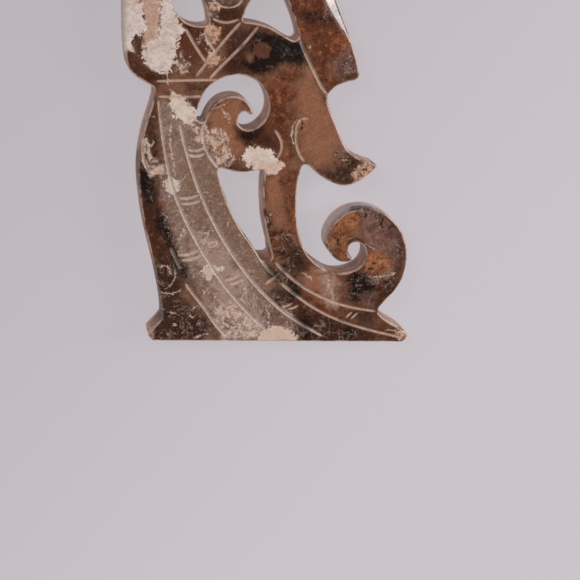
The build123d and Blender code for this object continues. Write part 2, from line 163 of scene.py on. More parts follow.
# Stains by kind, with patches of painted shade and painted reflection on the walls, each a rough outline in
# plan millimetres from the plaque's middle.
STAINS = {
    "tan": {
        "sleeve_low": [(2.8, 3.8), (3.8, 9.3), (6.1, 7.4), (8.1, 4.0), (9.5, 1.0), (11.1, -1.7), (10.7, -4.2),
            (9.5, -6.3), (7.9, -8.1), (5.6, -6.4), (4.0, -4.1), (2.9, 0.1)],
        "column": [(-1.8, -10.2), (1.2, -9.7), (1.9, -12.6), (2.4, -16.5), (2.3, -19.3), (0.4, -19.0),
            (-1.0, -15.5)],
        "train": [(6.0, -26.6), (9.5, -26.1), (12.6, -27.6), (13.2, -30.2), (12.7, -32.8), (9.7, -31.7),
            (6.8, -29.2)],
        "hip": [(-12.5, 1.2), (-9.9, 3.0), (-6.9, 3.1), (-5.1, 1.1), (-5.6, -1.3), (-5.6, -4.7), (-7.5, -7.2),
            (-10.2, -7.3), (-12.2, -3.9)],
    },
    "russet": {
        "column_top": [(-3.4, 6.3), (0.1, 8.5), (3.3, 9.6), (2.4, 6.2), (1.9, 1.7), (2.0, -3.4), (2.3, -8.3),
            (4.4, -8.9), (4.5, -13.9), (4.6, -19.3), (2.8, -18.3), (1.8, -11.5), (0.8, -5.2), (-1.0, -0.8),
            (-2.1, 2.9)],
        "falling_sleeve": [(-0.7, 22.3), (7.7, 22.8), (9.8, 17.3), (11.5, 12.3), (10.6, 10.3), (8.0, 9.5),
            (9.3, 6.5), (7.7, 5.4), (5.2, 9.4), (2.7, 14.3), (1.0, 17.8)],
        "skirt_orange": [(-20.8, -22.2), (-18.9, -21.4), (-17.3, -22.6), (-17.7, -24.6), (-19.8, -24.8)],
        "column_mid": [(-0.3, -19.8), (2.5, -19.0), (3.7, -21.1), (2.9, -24.1), (1.1, -24.1), (0.2, -21.9)],
        "train_strip": [(5.4, -30.7), (8.2, -31.7), (12.1, -33.6), (14.4, -34.7), (13.3, -35.5), (9.2, -34.2),
            (5.9, -32.1)],
        "neck_edge": [(-13.6, 15.1), (-10.2, 15.3), (-10.7, 13.9), (-13.0, 13.8)],
        "crown_right": [(-4.0, 35.6), (2.4, 33.0), (7.6, 26.4), (8.8, 22.4), (0.0, 22.0), (-2.2, 27.4),
            (-6.4, 32.4)],
    },
    "shade": {
        "skirt_side": [(-30.0, -4.0), (-23.0, -4.0), (-22.6, -9.0), (-23.0, -14.0), (-21.4, -21.0),
            (-18.6, -28.0), (-16.4, -34.0), (-17.0, -36.0), (-20.0, -37.0), (-19.0, -41.0), (-30.0, -41.0)],
    },
    "orange": {
        "scroll_left": [(10.5, -21.4), (11.1, -18.1), (13.3, -16.2), (15.8, -15.8), (15.6, -17.6),
            (14.3, -19.1), (14.8, -20.9), (14.1, -22.7), (14.1, -24.6), (12.7, -24.6)],
        "scroll_low": [(17.3, -23.8), (18.7, -22.8), (21.6, -23.0), (23.3, -24.8), (22.0, -26.9),
            (19.5, -27.5), (17.8, -26.4)],
    },
    "haze": {
        "skirt": [(-20.6, 2.5), (-16.3, 3.0), (-13.8, -0.6), (-11.7, -5.6), (-9.0, -10.1), (-5.3, -18.1),
            (-0.9, -24.9), (1.3, -30.3), (7.3, -37.8), (7.6, -40.2), (-6.9, -40.3), (-10.5, -33.8),
            (-13.3, -29.4), (-16.0, -24.0), (-17.6, -20.5), (-19.3, -15.6), (-20.2, -11.1), (-19.4, -7.6)],
        "skirt_hem": [(-7.1, -23.1), (-0.9, -25.2), (0.5, -29.2), (-2.9, -26.7)],
        "face": [(-13.0, 18.4), (-8.0, 18.4), (-6.9, 23.6), (-7.8, 27.4), (-10.2, 28.6), (-13.0, 27.2),
            (-13.9, 23.6)],
        "crown_left": [(-20.0, 31.0), (-16.0, 33.6), (-12.0, 34.4), (-15.6, 37.8), (-20.2, 35.6)],
    },
    "dark": {
        "heel": [(-19.7, -38.3), (-19.0, -36.3), (-17.1, -35.7), (-14.9, -36.4), (-11.8, -36.4),
            (-9.0, -36.2), (-8.0, -37.3), (-9.9, -38.5), (-11.9, -39.8), (-18.2, -40.0)],
        "arm_stripe": [(-25.6, 12.7), (-24.8, 13.4), (-24.0, 12.6), (-23.4, 10.8), (-23.4, 8.7), (-24.2, 8.3),
            (-25.0, 10.3)],
        "hand_edge": [(11.6, -6.6), (13.3, -6.0), (14.8, -6.7), (14.1, -8.1), (14.1, -10.1), (12.9, -10.8),
            (11.2, -9.4), (12.3, -8.0)],
        "elbow": [(-27.3, 10.3), (-25.1, 10.4), (-23.9, 8.4), (-22.2, 7.4), (-20.8, 6.5), (-19.5, 5.9),
            (-20.4, 5.0), (-22.7, 5.1), (-25.1, 6.7), (-26.5, 8.6)],
        "belt": [(-16.2, 5.6), (-11.5, 5.6), (-12.2, 4.1), (-15.7, 3.7)],
        "belt_under": [(-16.3, 2.9), (-13.5, 3.0), (-14.0, 0.8), (-15.2, 1.7)],
        "skirt_back": [(-22.1, 2.8), (-20.6, 2.7), (-20.3, -2.5), (-19.8, -5.9), (-20.5, -9.0), (-21.9, -9.7),
            (-23.0, -8.7), (-23.1, -3.5)],
        "skirt_low": [(-22.7, -14.6), (-20.6, -16.7), (-18.2, -22.3), (-15.9, -26.2), (-14.5, -29.4),
            (-13.7, -33.1), (-8.9, -36.4), (-10.8, -40.0), (-19.6, -40.0), (-19.2, -34.6), (-18.7, -31.7),
            (-19.7, -25.5), (-21.3, -20.9)],
        "neck": [(-12.8, 19.3), (-7.3, 19.6), (-6.9, 16.7), (-7.9, 15.7), (-9.8, 15.3), (-11.9, 16.1)],
        "chest": [(-10.5, 15.2), (-5.2, 15.5), (-4.6, 13.2), (-5.7, 9.9), (-7.2, 7.1), (-10.3, 7.3),
            (-9.9, 11.3)],
        "chest_left": [(-17.5, 15.9), (-13.5, 15.1), (-13.8, 12.1), (-15.0, 13.4), (-16.7, 13.6)],
        "train": [(6.2, -32.9), (8.8, -34.2), (12.6, -35.3), (16.4, -36.6), (21.0, -37.9), (25.2, -38.8),
            (25.0, -40.2), (6.5, -40.3)],
        "train_end": [(16.1, -33.7), (20.2, -33.7), (21.4, -34.4), (20.1, -36.9), (17.1, -35.8),
            (15.1, -35.1)],
        "column_low": [(2.6, -20.4), (5.6, -22.2), (8.0, -25.4), (6.8, -27.7), (4.3, -27.3), (2.4, -24.4)],
        "train_patch": [(0.4, -30.5), (1.7, -29.0), (3.9, -29.4), (5.9, -32.3), (4.4, -33.5), (2.1, -33.3)],
        "scroll_rim": [(23.2, -20.4), (24.8, -21.8), (24.9, -26.3), (23.9, -30.0), (21.2, -32.7),
            (20.0, -32.0), (22.5, -28.2), (23.7, -24.8)],
        "hand_low": [(7.6, -8.8), (10.0, -8.1), (11.6, -6.6), (13.6, -8.7), (13.5, -10.8), (10.3, -10.9)],
        "sleeve_band": [(2.7, 18.2), (5.1, 17.9), (7.4, 18.8), (8.6, 17.2), (6.6, 16.3), (3.5, 16.6)],
        "hip_shadow": [(-7.2, -1.7), (-2.8, -1.7), (-0.3, -3.2), (0.4, -5.2), (-1.1, -4.9), (-4.3, -4.3),
            (-6.4, -3.7)],
        "gap_rim": [(-9.3, -8.3), (-7.5, -7.7), (-5.0, -8.5), (-2.9, -9.0), (-6.0, -9.6), (-8.7, -9.2)],
        "curl_lines": [(3.5, -27.0), (6.2, -28.8), (7.6, -32.1), (5.8, -32.9), (4.1, -30.3)],
        "foot_mid": [(-6.5, -35.6), (-4.0, -36.0), (-4.5, -38.2), (-6.4, -37.5)],
        "crown": [(-15.0, 33.4), (-8.0, 35.0), (-2.0, 37.4), (-7.0, 39.2), (-14.0, 38.6), (-18.0, 35.6)],
        "hair": [(-14.6, 24.0), (-13.6, 29.6), (-10.4, 32.0), (-7.0, 29.8), (-5.6, 25.0), (-7.4, 26.6),
            (-10.2, 28.4), (-13.2, 26.8)],
        "arm_pit": [(5.4, 27.4), (8.6, 24.0), (9.6, 20.6), (7.4, 21.8), (4.6, 25.8)],
    },
    "olive": {
        "skirt_right": [(-12.0, -10.0), (-9.6, -9.6), (-8.0, -13.0), (-5.0, -18.0), (-2.0, -23.0),
            (2.6, -28.0), (5.0, -31.6), (0.6, -30.6), (-4.4, -25.0), (-8.2, -19.6), (-10.8, -15.0)],
        "skirt_top": [(-17.6, -3.0), (-13.6, -4.2), (-11.0, -8.6), (-8.8, -12.6), (-8.0, -15.5),
            (-11.5, -18.0), (-14.4, -14.0), (-16.4, -9.0)],
    },
    "mauve": {
        "skirt_foot": [(-13.0, -32.0), (-10.4, -33.4), (-8.0, -37.0), (-9.4, -39.6), (-12.6, -39.4),
            (-13.6, -36.0)],
        "scroll_right": [(16.5, -15.9), (20.1, -16.0), (23.0, -18.9), (24.4, -22.9), (24.1, -25.9),
            (21.3, -23.4), (18.2, -21.9), (16.2, -20.1), (16.3, -17.6)],
        "sleeve_edge": [(8.8, 11.2), (11.4, 12.7), (12.9, 9.0), (10.9, 7.6), (9.1, 8.9)],
        "scroll_grey": [(17.1, -30.5), (19.4, -30.1), (20.7, -31.6), (19.4, -33.1), (17.5, -32.4)],
    },
    # Painted reflection: a pale grey painted on the scroll's outer wall.
    "painted_wall_sheen": {
        "scroll_wall": [(10.0, -12.0), (28.0, -12.0), (28.0, -19.5), (18.0, -20.5), (13.2, -21.6),
            (12.4, -25.0), (9.5, -25.0)],
    },
    "mist": {
        "scroll_streak": [(17.7, -28.1), (20.3, -27.5), (23.1, -26.5), (23.8, -25.7), (22.9, -27.6),
            (20.0, -28.6)],
        "train_mottle": [(10.0, -26.9), (12.4, -28.0), (13.2, -30.6), (12.4, -32.8), (10.8, -31.7),
            (9.8, -29.1)],
        "skirt_low": [(-12.8, -20.0), (-10.1, -19.6), (-7.1, -22.8), (-4.0, -27.1), (-1.1, -32.2),
            (1.1, -36.3), (0.2, -39.3), (-4.5, -39.4), (-6.9, -35.6), (-9.6, -31.6), (-11.7, -26.9),
            (-13.3, -22.9)],
        "skirt_high": [(-17.2, -4.1), (-15.6, -4.0), (-14.3, -8.3), (-15.1, -10.6), (-16.9, -9.2)],
        "brow": [(-13.0, 24.4), (-10.2, 25.6), (-8.0, 24.4), (-10.2, 22.0)],
    },
    "rosy": {
        "base_patch": BASE_PATCH,
        "chest_high": [(-14.1, 14.6), (-13.3, 15.1), (-12.0, 15.3), (-11.0, 14.2), (-11.1, 13.5),
            (-11.8, 12.9), (-12.3, 12.3), (-12.7, 11.7), (-13.1, 12.5), (-13.7, 13.3), (-14.4, 12.6),
            (-13.9, 13.7)],
        "chest_low": [(-12.8, 11.4), (-11.7, 10.7), (-10.9, 9.6), (-11.0, 9.1), (-12.2, 8.4), (-12.9, 9.2)],
        "arm_border": [(-18.6, 15.6), (-17.5, 15.3), (-17.2, 14.4), (-17.7, 12.9), (-18.2, 11.5),
            (-18.4, 9.6), (-18.5, 8.9), (-19.2, 9.0), (-19.2, 11.8), (-19.0, 13.6)],
        "hip_patch": [(-2.7, -7.6), (-1.1, -7.4), (0.4, -7.2), (1.4, -8.1), (0.2, -9.3), (-1.5, -9.4),
            (-2.8, -8.6)],
        "neck": [(-13.2, 18.8), (-12.1, 19.1), (-11.5, 18.1), (-12.1, 17.3), (-13.1, 17.5)],
        "base": [(-6.7, -33.4), (-5.8, -33.4), (-5.1, -34.9), (-5.8, -36.2), (-6.7, -35.6)],
        "cuff": [(13.7, -9.4), (14.2, -7.9), (15.4, -7.2), (16.6, -7.0), (17.2, -7.7), (16.3, -9.1),
            (15.2, -10.2), (14.3, -10.4)],
        "toe": [(24.3, -38.8), (25.3, -37.8), (26.7, -38.4), (26.9, -39.2), (25.7, -39.6)],
        "foot": [(-20.6, -38.7), (-20.5, -36.9), (-19.8, -36.1), (-19.1, -37.0), (-19.3, -39.1)],
        "crown": [(-9.0, 37.6), (-6.6, 38.2), (-5.8, 37.0), (-8.0, 36.6)],
    },
    "black": {
        "chest_right": [(-5.1, 14.2), (-3.8, 15.1), (-1.7, 14.5), (0.8, 13.3), (2.6, 13.4), (3.8, 11.3),
            (4.8, 9.8), (2.5, 9.4), (0.2, 10.0), (-1.6, 8.7), (-3.5, 6.9), (-5.2, 7.2), (-6.8, 8.1),
            (-6.5, 9.5), (-5.4, 10.2), (-5.9, 12.2)],
        "skirt_side": [(-23.7, -8.4), (-22.5, -9.1), (-20.9, -10.1), (-20.1, -12.1), (-19.8, -15.2),
            (-20.4, -16.7), (-21.8, -15.7), (-22.9, -13.2)],
        "skirt_slant": [(-20.6, -15.3), (-19.1, -15.9), (-17.9, -18.0), (-16.9, -20.8), (-15.7, -24.0),
            (-14.0, -26.5), (-13.3, -28.7), (-14.7, -28.7), (-16.3, -25.8), (-17.8, -22.5), (-19.4, -19.5)],
        "train_spot": [(4.0, -28.6), (5.3, -29.0), (6.2, -30.6), (5.8, -32.3), (4.6, -31.6)],
        "train_foot": [(6.6, -35.1), (8.0, -35.3), (8.7, -37.0), (8.6, -39.9), (7.0, -39.9), (7.1, -37.2)],
        "train_mid": [(15.0, -37.0), (16.6, -36.8), (17.1, -38.5), (16.5, -39.6), (15.4, -39.3)],
        "scroll_foot": [(14.9, -27.4), (16.5, -26.6), (18.3, -27.7), (19.9, -29.3), (19.1, -30.7),
            (17.5, -31.4), (16.9, -32.8), (15.8, -32.4), (15.4, -29.8)],
        "hip_notch": [(-6.7, -2.2), (-4.8, -2.1), (-2.8, -1.9), (-3.9, -3.1), (-5.2, -4.2), (-6.4, -3.4)],
        "knee_specks": [(-1.5, -16.0), (-0.6, -16.5), (0.3, -18.3), (0.1, -19.8), (-0.7, -18.9)],
        "fold_corner": [(-0.2, -25.2), (1.5, -26.3), (3.2, -27.0), (2.2, -28.1), (0.5, -27.8)],
        "crown_edge": [(1.2, 35.2), (3.6, 33.8), (4.6, 31.2), (2.6, 32.2)],
    },
    "speckle": {
        "train_low": [(-6.0, -31.0), (3.0, -31.0), (12.0, -35.0), (20.0, -38.0), (16.0, -39.6), (4.0, -39.0),
            (-4.0, -36.0)],
        "left_foot": [(-22.4, -33.0), (-16.0, -32.0), (-12.0, -34.4), (-10.6, -39.8), (-22.6, -39.8)],
        "cuff": [(10.4, -4.5), (11.7, -4.0), (13.3, -5.5), (15.8, -6.3), (17.9, -7.5), (17.1, -9.4),
            (14.9, -10.9), (12.8, -11.0), (10.3, -9.6), (11.0, -7.7), (10.2, -6.1)],
        "scroll_top": [(15.3, -14.9), (19.0, -15.5), (21.7, -17.5), (23.7, -20.0), (24.6, -23.3),
            (23.7, -25.2), (21.6, -24.3), (22.2, -21.5), (20.5, -19.3), (18.4, -18.4), (15.9, -17.0)],
        "scroll_foot": [(14.1, -26.4), (17.2, -26.6), (20.1, -26.3), (23.1, -26.9), (23.7, -28.7),
            (21.7, -31.0), (19.7, -32.6), (17.0, -33.1), (15.2, -31.5)],
        "scroll_heart": [(10.8, -20.6), (12.5, -19.1), (14.8, -20.2), (15.3, -22.0), (14.1, -24.2),
            (12.2, -23.9)],
        "column_foot": [(-0.6, -20.1), (1.9, -18.6), (4.5, -19.3), (5.8, -22.2), (6.4, -25.3), (4.6, -26.8),
            (1.8, -26.1), (-0.3, -23.4)],
        "curl": [(3.0, -25.2), (5.6, -26.6), (5.7, -29.4), (3.8, -30.9), (1.7, -28.7), (1.5, -26.1)],
        "heel": [(-21.3, -34.6), (-18.3, -32.8), (-13.7, -33.1), (-10.1, -35.3), (-8.5, -37.3),
            (-10.9, -39.6), (-19.6, -39.6)],
        "train": [(4.8, -33.3), (9.9, -34.4), (14.1, -35.4), (16.8, -36.8), (16.7, -39.2), (5.3, -39.7)],
        "skirt_side": [(-20.0, -25.5), (-16.6, -25.6), (-15.3, -29.9), (-16.2, -32.4), (-18.7, -32.1)],
        "sleeve_band": [(1.0, 18.5), (7.1, 18.8), (8.6, 17.2), (5.9, 16.2), (1.8, 16.7)],
        "sleeve_corner": [(9.2, 10.6), (11.5, 12.0), (13.0, 9.7), (12.8, 8.0), (10.6, 7.2), (9.1, 8.2)],
        "crown": [(-16.0, 34.0), (-9.0, 36.6), (-4.0, 38.6), (-12.0, 39.0), (-17.4, 36.4)],
    },
    "spot": {
        "chest": [(-5.3, 12.4), (-4.3, 12.9), (-3.1, 12.8), (-2.2, 11.9), (-2.7, 10.5), (-4.2, 10.1),
            (-5.3, 11.0)],
        "crown": [(0.2, 33.6), (1.4, 33.9), (2.0, 32.8), (1.0, 32.2)],
    },
    "slate": {
        "chest": [(-1.6, 12.7), (0.1, 13.1), (2.2, 11.9), (2.0, 10.6), (0.0, 10.5), (-1.3, 11.4)],
        "skirt_low": [(-15.9, -26.9), (-14.5, -26.5), (-13.7, -28.7), (-14.7, -29.4), (-15.8, -28.4)],
        "skirt_side": [(-22.4, -9.8), (-20.9, -10.8), (-19.9, -13.2), (-20.1, -15.6), (-21.3, -14.6),
            (-22.3, -12.2)],
        "scroll": [(16.0, -29.6), (18.2, -28.6), (18.6, -30.4), (16.8, -31.4)],
    },
    "pink": {
        "arm_column": [(-24.6, 20.9), (-21.2, 21.1), (-21.1, 17.0), (-20.9, 14.1), (-21.3, 12.4),
            (-22.4, 11.7), (-23.4, 11.0), (-23.8, 12.9), (-23.4, 14.3), (-23.9, 17.1)],
        "arm_high": [(-24.7, 20.4), (-21.2, 20.6), (-20.2, 25.4), (-18.2, 29.6), (-19.6, 31.6),
            (-22.8, 27.0)],
    },
    "cream": {
        "star_upper": [(-18.7, -11.0), (-17.5, -10.5), (-16.3, -11.0), (-16.2, -12.7), (-17.2, -13.8),
            (-18.6, -13.1)],
        "star_lower": [(-11.4, -26.5), (-9.6, -26.1), (-7.9, -26.6), (-9.2, -27.5), (-9.8, -28.8),
            (-11.1, -28.1)],
        "arm_outer": [(-27.6, 20.8), (-24.6, 20.9), (-24.1, 17.8), (-23.6, 15.2), (-23.4, 13.9),
            (-24.2, 13.2), (-25.1, 13.0), (-25.4, 11.9), (-25.1, 10.4), (-27.3, 10.3)],
        "arm_inner": [(-21.3, 21.1), (-19.5, 19.6), (-18.9, 17.7), (-17.8, 15.5), (-17.5, 14.1),
            (-18.2, 11.7), (-18.2, 9.6), (-18.6, 7.6), (-19.5, 6.7), (-21.0, 7.2), (-22.7, 8.1), (-23.5, 9.4),
            (-23.4, 10.8), (-22.5, 11.9), (-21.3, 12.6), (-21.0, 15.0)],
        "arm_high": [(-27.2, 20.5), (-24.6, 20.8), (-22.6, 25.5), (-20.4, 29.0), (-22.0, 32.0), (-25.2, 28.6),
            (-26.8, 24.6)],
    },
    "pale": {
        "below_waist": [(-14.7, -0.8), (-13.6, -0.4), (-12.6, -0.7), (-12.3, -2.0), (-10.6, -2.2),
            (-9.2, -2.4), (-8.6, -3.6), (-9.4, -4.7), (-10.9, -5.6), (-12.2, -5.6), (-13.7, -4.5),
            (-14.5, -2.6)],
        "hip_streaks": [(-11.4, -6.1), (-9.4, -5.0), (-7.8, -5.1), (-7.2, -6.5), (-8.0, -7.9), (-9.1, -8.5),
            (-10.6, -7.3)],
        "base_band": [(-8.7, -32.3), (-6.4, -32.8), (-3.0, -34.8), (0.0, -36.9), (-0.5, -39.3), (-3.7, -39.9),
            (-6.6, -39.9), (-8.2, -36.4)],
        "hip_hem": [(-22.7, -4.3), (-22.1, -3.6), (-21.5, -6.0), (-20.3, -8.7), (-19.0, -9.0), (-19.1, -10.2),
            (-20.9, -10.2), (-22.0, -9.1)],
        "elbow_hem": [(-18.7, 9.3), (-17.2, 9.7), (-15.7, 8.4), (-16.3, 7.4), (-17.9, 7.3)],
        "neck_side": [(-13.5, 19.0), (-12.4, 18.4), (-11.9, 17.1), (-13.0, 16.1), (-13.8, 17.3)],
        "brow": [(-12.6, 25.0), (-11.0, 25.8), (-10.8, 24.0), (-12.2, 23.2)],
        "crown": [(-5.0, 36.4), (-3.0, 37.4), (-1.2, 36.0), (-3.4, 34.8)],
    },
    "chalk": {
        "waist": [(-18.5, 4.0), (-17.4, 3.5), (-16.3, 3.2), (-15.6, 2.6), (-15.1, 1.6), (-14.0, 0.8),
            (-13.6, -0.2), (-14.2, -0.9), (-16.1, -1.0), (-17.6, -0.5), (-17.7, 0.3), (-18.6, 1.8),
            (-18.8, 2.9)],
        "hip_patch": [(-5.8, -7.2), (-5.4, -5.6), (-4.4, -4.7), (-2.7, -5.0), (-1.1, -5.1), (-0.2, -6.5),
            (1.5, -7.8), (0.9, -8.5), (0.1, -9.4), (-1.5, -9.5), (-3.2, -9.0), (-5.0, -8.0)],
        "base_patch": BASE_PATCH,
    },
}

# Hair-thin pale veins and scratches, in plan millimetres.
VEINS = [
    [(-20.1, 8.5), (-19.6, 7.4), (-19.2, 6.3), (-19.1, 4.8)],
    [(-18.1, -1.1), (-18.2, -2.4), (-18.3, -3.8), (-18.0, -5.5), (-17.6, -7.2), (-17.3, -8.9),
        (-17.0, -10.6)],
    [(-16.4, -25.8), (-16.0, -27.3), (-16.1, -28.6), (-16.7, -29.7), (-17.7, -30.6)],
    [(-8.3, -32.3), (-7.4, -32.8), (-6.8, -34.0)],
    [(-12.1, -13.0), (-10.9, -13.0)],
    [(-22.8, -4.0), (-22.3, -5.6), (-22.6, -7.4), (-22.0, -9.4)],
    [(-9.9, -2.1), (-9.1, -4.2), (-9.3, -5.9)],
    [(-11.0, -30.1), (-10.5, -32.0)],
    [(-4.0, -29.3), (-3.3, -30.8), (-3.5, -33.0)],
    [(-12.8, -20.7), (-11.1, -20.2), (-9.7, -19.6)],
    [(-12.4, -21.6), (-10.3, -22.1), (-8.9, -21.6)],
    [(-10.6, -26.8), (-7.8, -26.8)],
    [(-12.9, 11.8), (-12.3, 10.2), (-12.9, 8.9)],
    [(-17.5, 9.0), (-16.6, 8.0), (-15.6, 7.4)],
    [(-15.3, -19.4), (-14.6, -20.1), (-15.2, -21.2)],
    [(3.3, 0.3), (2.5, -1.0), (2.5, -3.1), (3.0, -4.4)],
    [(-9.9, 1.6), (-9.1, 0.3), (-8.3, -0.7)],
    [(1.0, -35.2), (1.2, -36.3), (1.5, -37.8)],
    [(-17.9, 9.6), (-17.5, 8.3), (-16.4, 7.4)],
    [(-16.2, 9.7), (-15.3, 10.2)],
    [(-18.2, 8.5), (-17.0, 8.2)],
    [(-13.2, 13.8), (-12.2, 11.7), (-11.5, 10.5)],
    [(-22.4, -3.9), (-22.3, -4.8), (-21.6, -5.2), (-20.9, -4.7), (-21.0, -4.0)],
    [(-12.6, -13.0), (-11.2, -13.1)],
    [(-11.4, 1.4), (-9.9, 2.0), (-8.7, 2.7)],
    [(-9.8, 1.3), (-8.5, 0.0), (-8.6, -1.1)],
    [(-10.1, -1.8), (-8.4, -3.8), (-8.8, -5.2), (-9.3, -6.8)],
    [(-10.6, -6.5), (-9.2, -7.4), (-8.1, -6.3)],
    [(-18.7, -12.4), (-16.4, -12.5)],
    [(-18.3, -13.4), (-17.1, -11.2)],
    [(-18.6, -11.6), (-16.5, -13.1)],
    [(-10.2, -28.3), (-10.0, -26.5)],
    [(-11.1, -27.8), (-10.1, -26.9)],
    [(-16.5, -21.5), (-15.5, -21.3), (-15.2, -20.1), (-14.4, -20.2)],
    [(-12.3, -20.4), (-10.7, -20.3), (-10.9, -21.1), (-11.9, -21.3)],
    [(-11.9, -21.3), (-10.1, -21.8), (-9.1, -21.7), (-9.5, -22.5), (-10.6, -22.9)],
    [(-4.3, -29.7), (-3.6, -30.6), (-3.9, -32.3), (-3.2, -33.1)],
    [(-11.3, -30.3), (-10.6, -31.0), (-11.0, -31.8)],
    [(-7.6, -17.8), (-7.2, -19.2)],
    [(-5.7, -20.3), (-4.5, -21.1)],
    [(-18.4, -31.0), (-16.3, -31.2), (-14.6, -30.4)],
    [(0.2, -33.7), (0.9, -34.4), (1.0, -35.9)],
    [(-12.3, -39.6), (-10.7, -38.9), (-9.2, -38.3)],
    [(17.0, -21.2), (18.2, -22.1), (19.4, -22.6)],
    [(18.1, -27.6), (20.6, -27.6), (23.5, -26.8)],
    [(7.8, -37.0), (9.5, -38.0), (11.2, -38.9)],
    [(3.4, -33.3), (4.9, -34.8), (5.7, -35.1)],
    [(22.6, -37.7), (25.3, -38.1), (26.4, -38.9)],
    [(11.3, -6.6), (13.0, -6.5)],
    [(4.2, 13.2), (4.3, 12.0)],
    [(1.1, 11.2), (1.9, 10.4)],
    [(4.0, 0.3), (5.3, 0.4)],
    [(0.7, -38.6), (3.3, -37.8), (5.6, -38.4)],
    [(-5.5, -34.5), (-4.0, -36.0), (-2.1, -37.1)],
    [(-7.2, -36.4), (-5.0, -37.5), (-2.7, -38.4)],
    [(-24.8, 27.0), (-23.6, 29.4), (-22.4, 30.6)],
    [(-17.0, -34.6), (-15.7, -34.8), (-14.5, -35.3)],
    [(-16.1, -36.6), (-14.9, -37.2)],
    [(-20.0, -33.4), (-18.6, -34.1), (-17.3, -34.1)],
    [(-13.0, -34.4), (-11.6, -33.3)],
    [(-17.6, -25.9), (-16.9, -26.9), (-16.5, -28.0)],
    [(-19.0, -26.6), (-18.0, -26.2), (-17.1, -26.6)],
    [(-13.6, -34.6), (-12.5, -35.5), (-11.7, -35.1)],
    [(-1.4, -16.6), (-0.5, -17.4), (-0.7, -18.7)],
    [(-0.2, -16.2), (0.2, -17.2)],
    [(-21.1, -13.9), (-20.3, -15.1)],
    [(-18.9, -16.6), (-18.1, -17.7), (-18.6, -18.7)],
    [(-4.1, -34.5), (-3.0, -35.6), (-3.4, -37.1)],
    [(-2.6, -37.8), (-1.0, -37.1), (0.1, -38.0)],
    [(-8.8, -30.1), (-7.8, -30.6)],
    [(-15.8, -11.1), (-15.2, -10.2)],
    [(10.8, -27.6), (11.5, -29.1), (11.2, -30.6)],
    [(11.9, -29.5), (12.4, -31.3), (12.2, -32.8)],
    [(-21.8, -0.2), (-20.8, -0.5)],
    [(6.0, -26.9), (7.5, -27.7), (8.7, -28.8)],
    [(-18.0, 33.8), (-15.4, 35.2), (-13.6, 35.0)],
]

# Fine dark cracks, in plan millimetres.
CRACKS = {
    "eye_ring": [(13.9, -22.2), (13.9, -21.8), (14.4, -21.2), (15.0, -20.9), (15.6, -20.7), (16.4, -20.9),
        (17.0, -21.3), (17.6, -21.8), (17.9, -22.4)],
    "under_tongue": [(11.4, -23.5), (12.3, -24.2), (13.3, -24.8), (14.2, -25.0), (14.9, -24.7)],
    "scroll_left": [(10.5, -21.5), (10.7, -22.5), (11.3, -23.3)],
    "scroll_fleck": [(11.3, -19.5), (11.8, -20.5), (12.4, -21.2), (12.1, -22.0)],
    "scroll_fleck_two": [(13.8, -20.0), (14.5, -20.3), (14.8, -20.7)],
    "scroll_rim": [(10.8, -18.4), (11.7, -17.1), (13.2, -15.9), (14.8, -15.4), (16.4, -15.3), (18.3, -15.5),
        (20.0, -16.2), (21.5, -17.4), (22.9, -18.7), (23.9, -20.2)],
    "scroll_top_a": [(16.4, -15.8), (16.9, -16.4), (17.4, -16.0)],
    "scroll_top_b": [(19.4, -16.4), (20.0, -17.2), (19.7, -18.0), (20.9, -18.8)],
    "scroll_top_c": [(21.1, -18.2), (21.5, -19.0)],
    "scroll_side": [(19.7, -21.4), (20.0, -21.9)],
    "scroll_low_a": [(18.7, -25.0), (19.4, -25.1), (19.9, -24.7)],
    "scroll_low_b": [(17.9, -26.4), (18.8, -26.1), (19.6, -26.3)],
    "scroll_foot_a": [(15.4, -26.8), (16.2, -27.2), (15.7, -28.1)],
    "scroll_foot_b": [(20.4, -28.4), (21.5, -28.8), (22.8, -28.4), (23.7, -28.6)],
    "scroll_foot_c": [(21.9, -27.4), (22.6, -27.0), (23.4, -26.8)],
    "sleeve_flecks": [(10.8, 9.2), (11.3, 9.0), (11.6, 9.3)],
    "sleeve_side": [(11.1, 10.7), (11.5, 10.4)],
    "cuff_a": [(12.8, -6.2), (13.6, -6.6), (13.3, -7.3)],
    "cuff_b": [(14.2, -8.0), (15.0, -8.4), (15.9, -8.1), (16.6, -8.7)],
    "hand_rim": [(15.2, -5.9), (16.3, -6.4), (17.4, -7.0), (18.0, -7.5), (17.4, -8.5), (16.2, -9.5)],
    "belly_crack": [(3.8, 0.4), (4.1, -0.6), (4.0, -1.8)],
}

# How far a stain's soft border reaches to each side of its outline, in millimetres.
STAIN_REACH = {
    "chalk": 1.0, "pale": 1.4, "cream": 1.0, "pink": 1.4, "black": 1.9, "dark": 2.0, "russet": 2.4,
    "tan": 2.2, "haze": 2.0, "speckle": 1.6, "spot": 0.6, "slate": 1.2, "mauve": 2.2, "mist": 2.4,
    "rosy": 0.9, "orange": 1.6, "shade": 1.4, "painted_wall_sheen": 1.4, "olive": 2.2,
}
# How far the stains drift on their way through the stone, and how much of the crusts the back has.
STAIN_DRIFT = 2.2
BACK_CRUST = 0.75
# How far veins are shaken to the side, in millimetres, and cracks as a share of that.
VEIN_SHAKE = 0.22
CRACK_SHAKE = 0.6

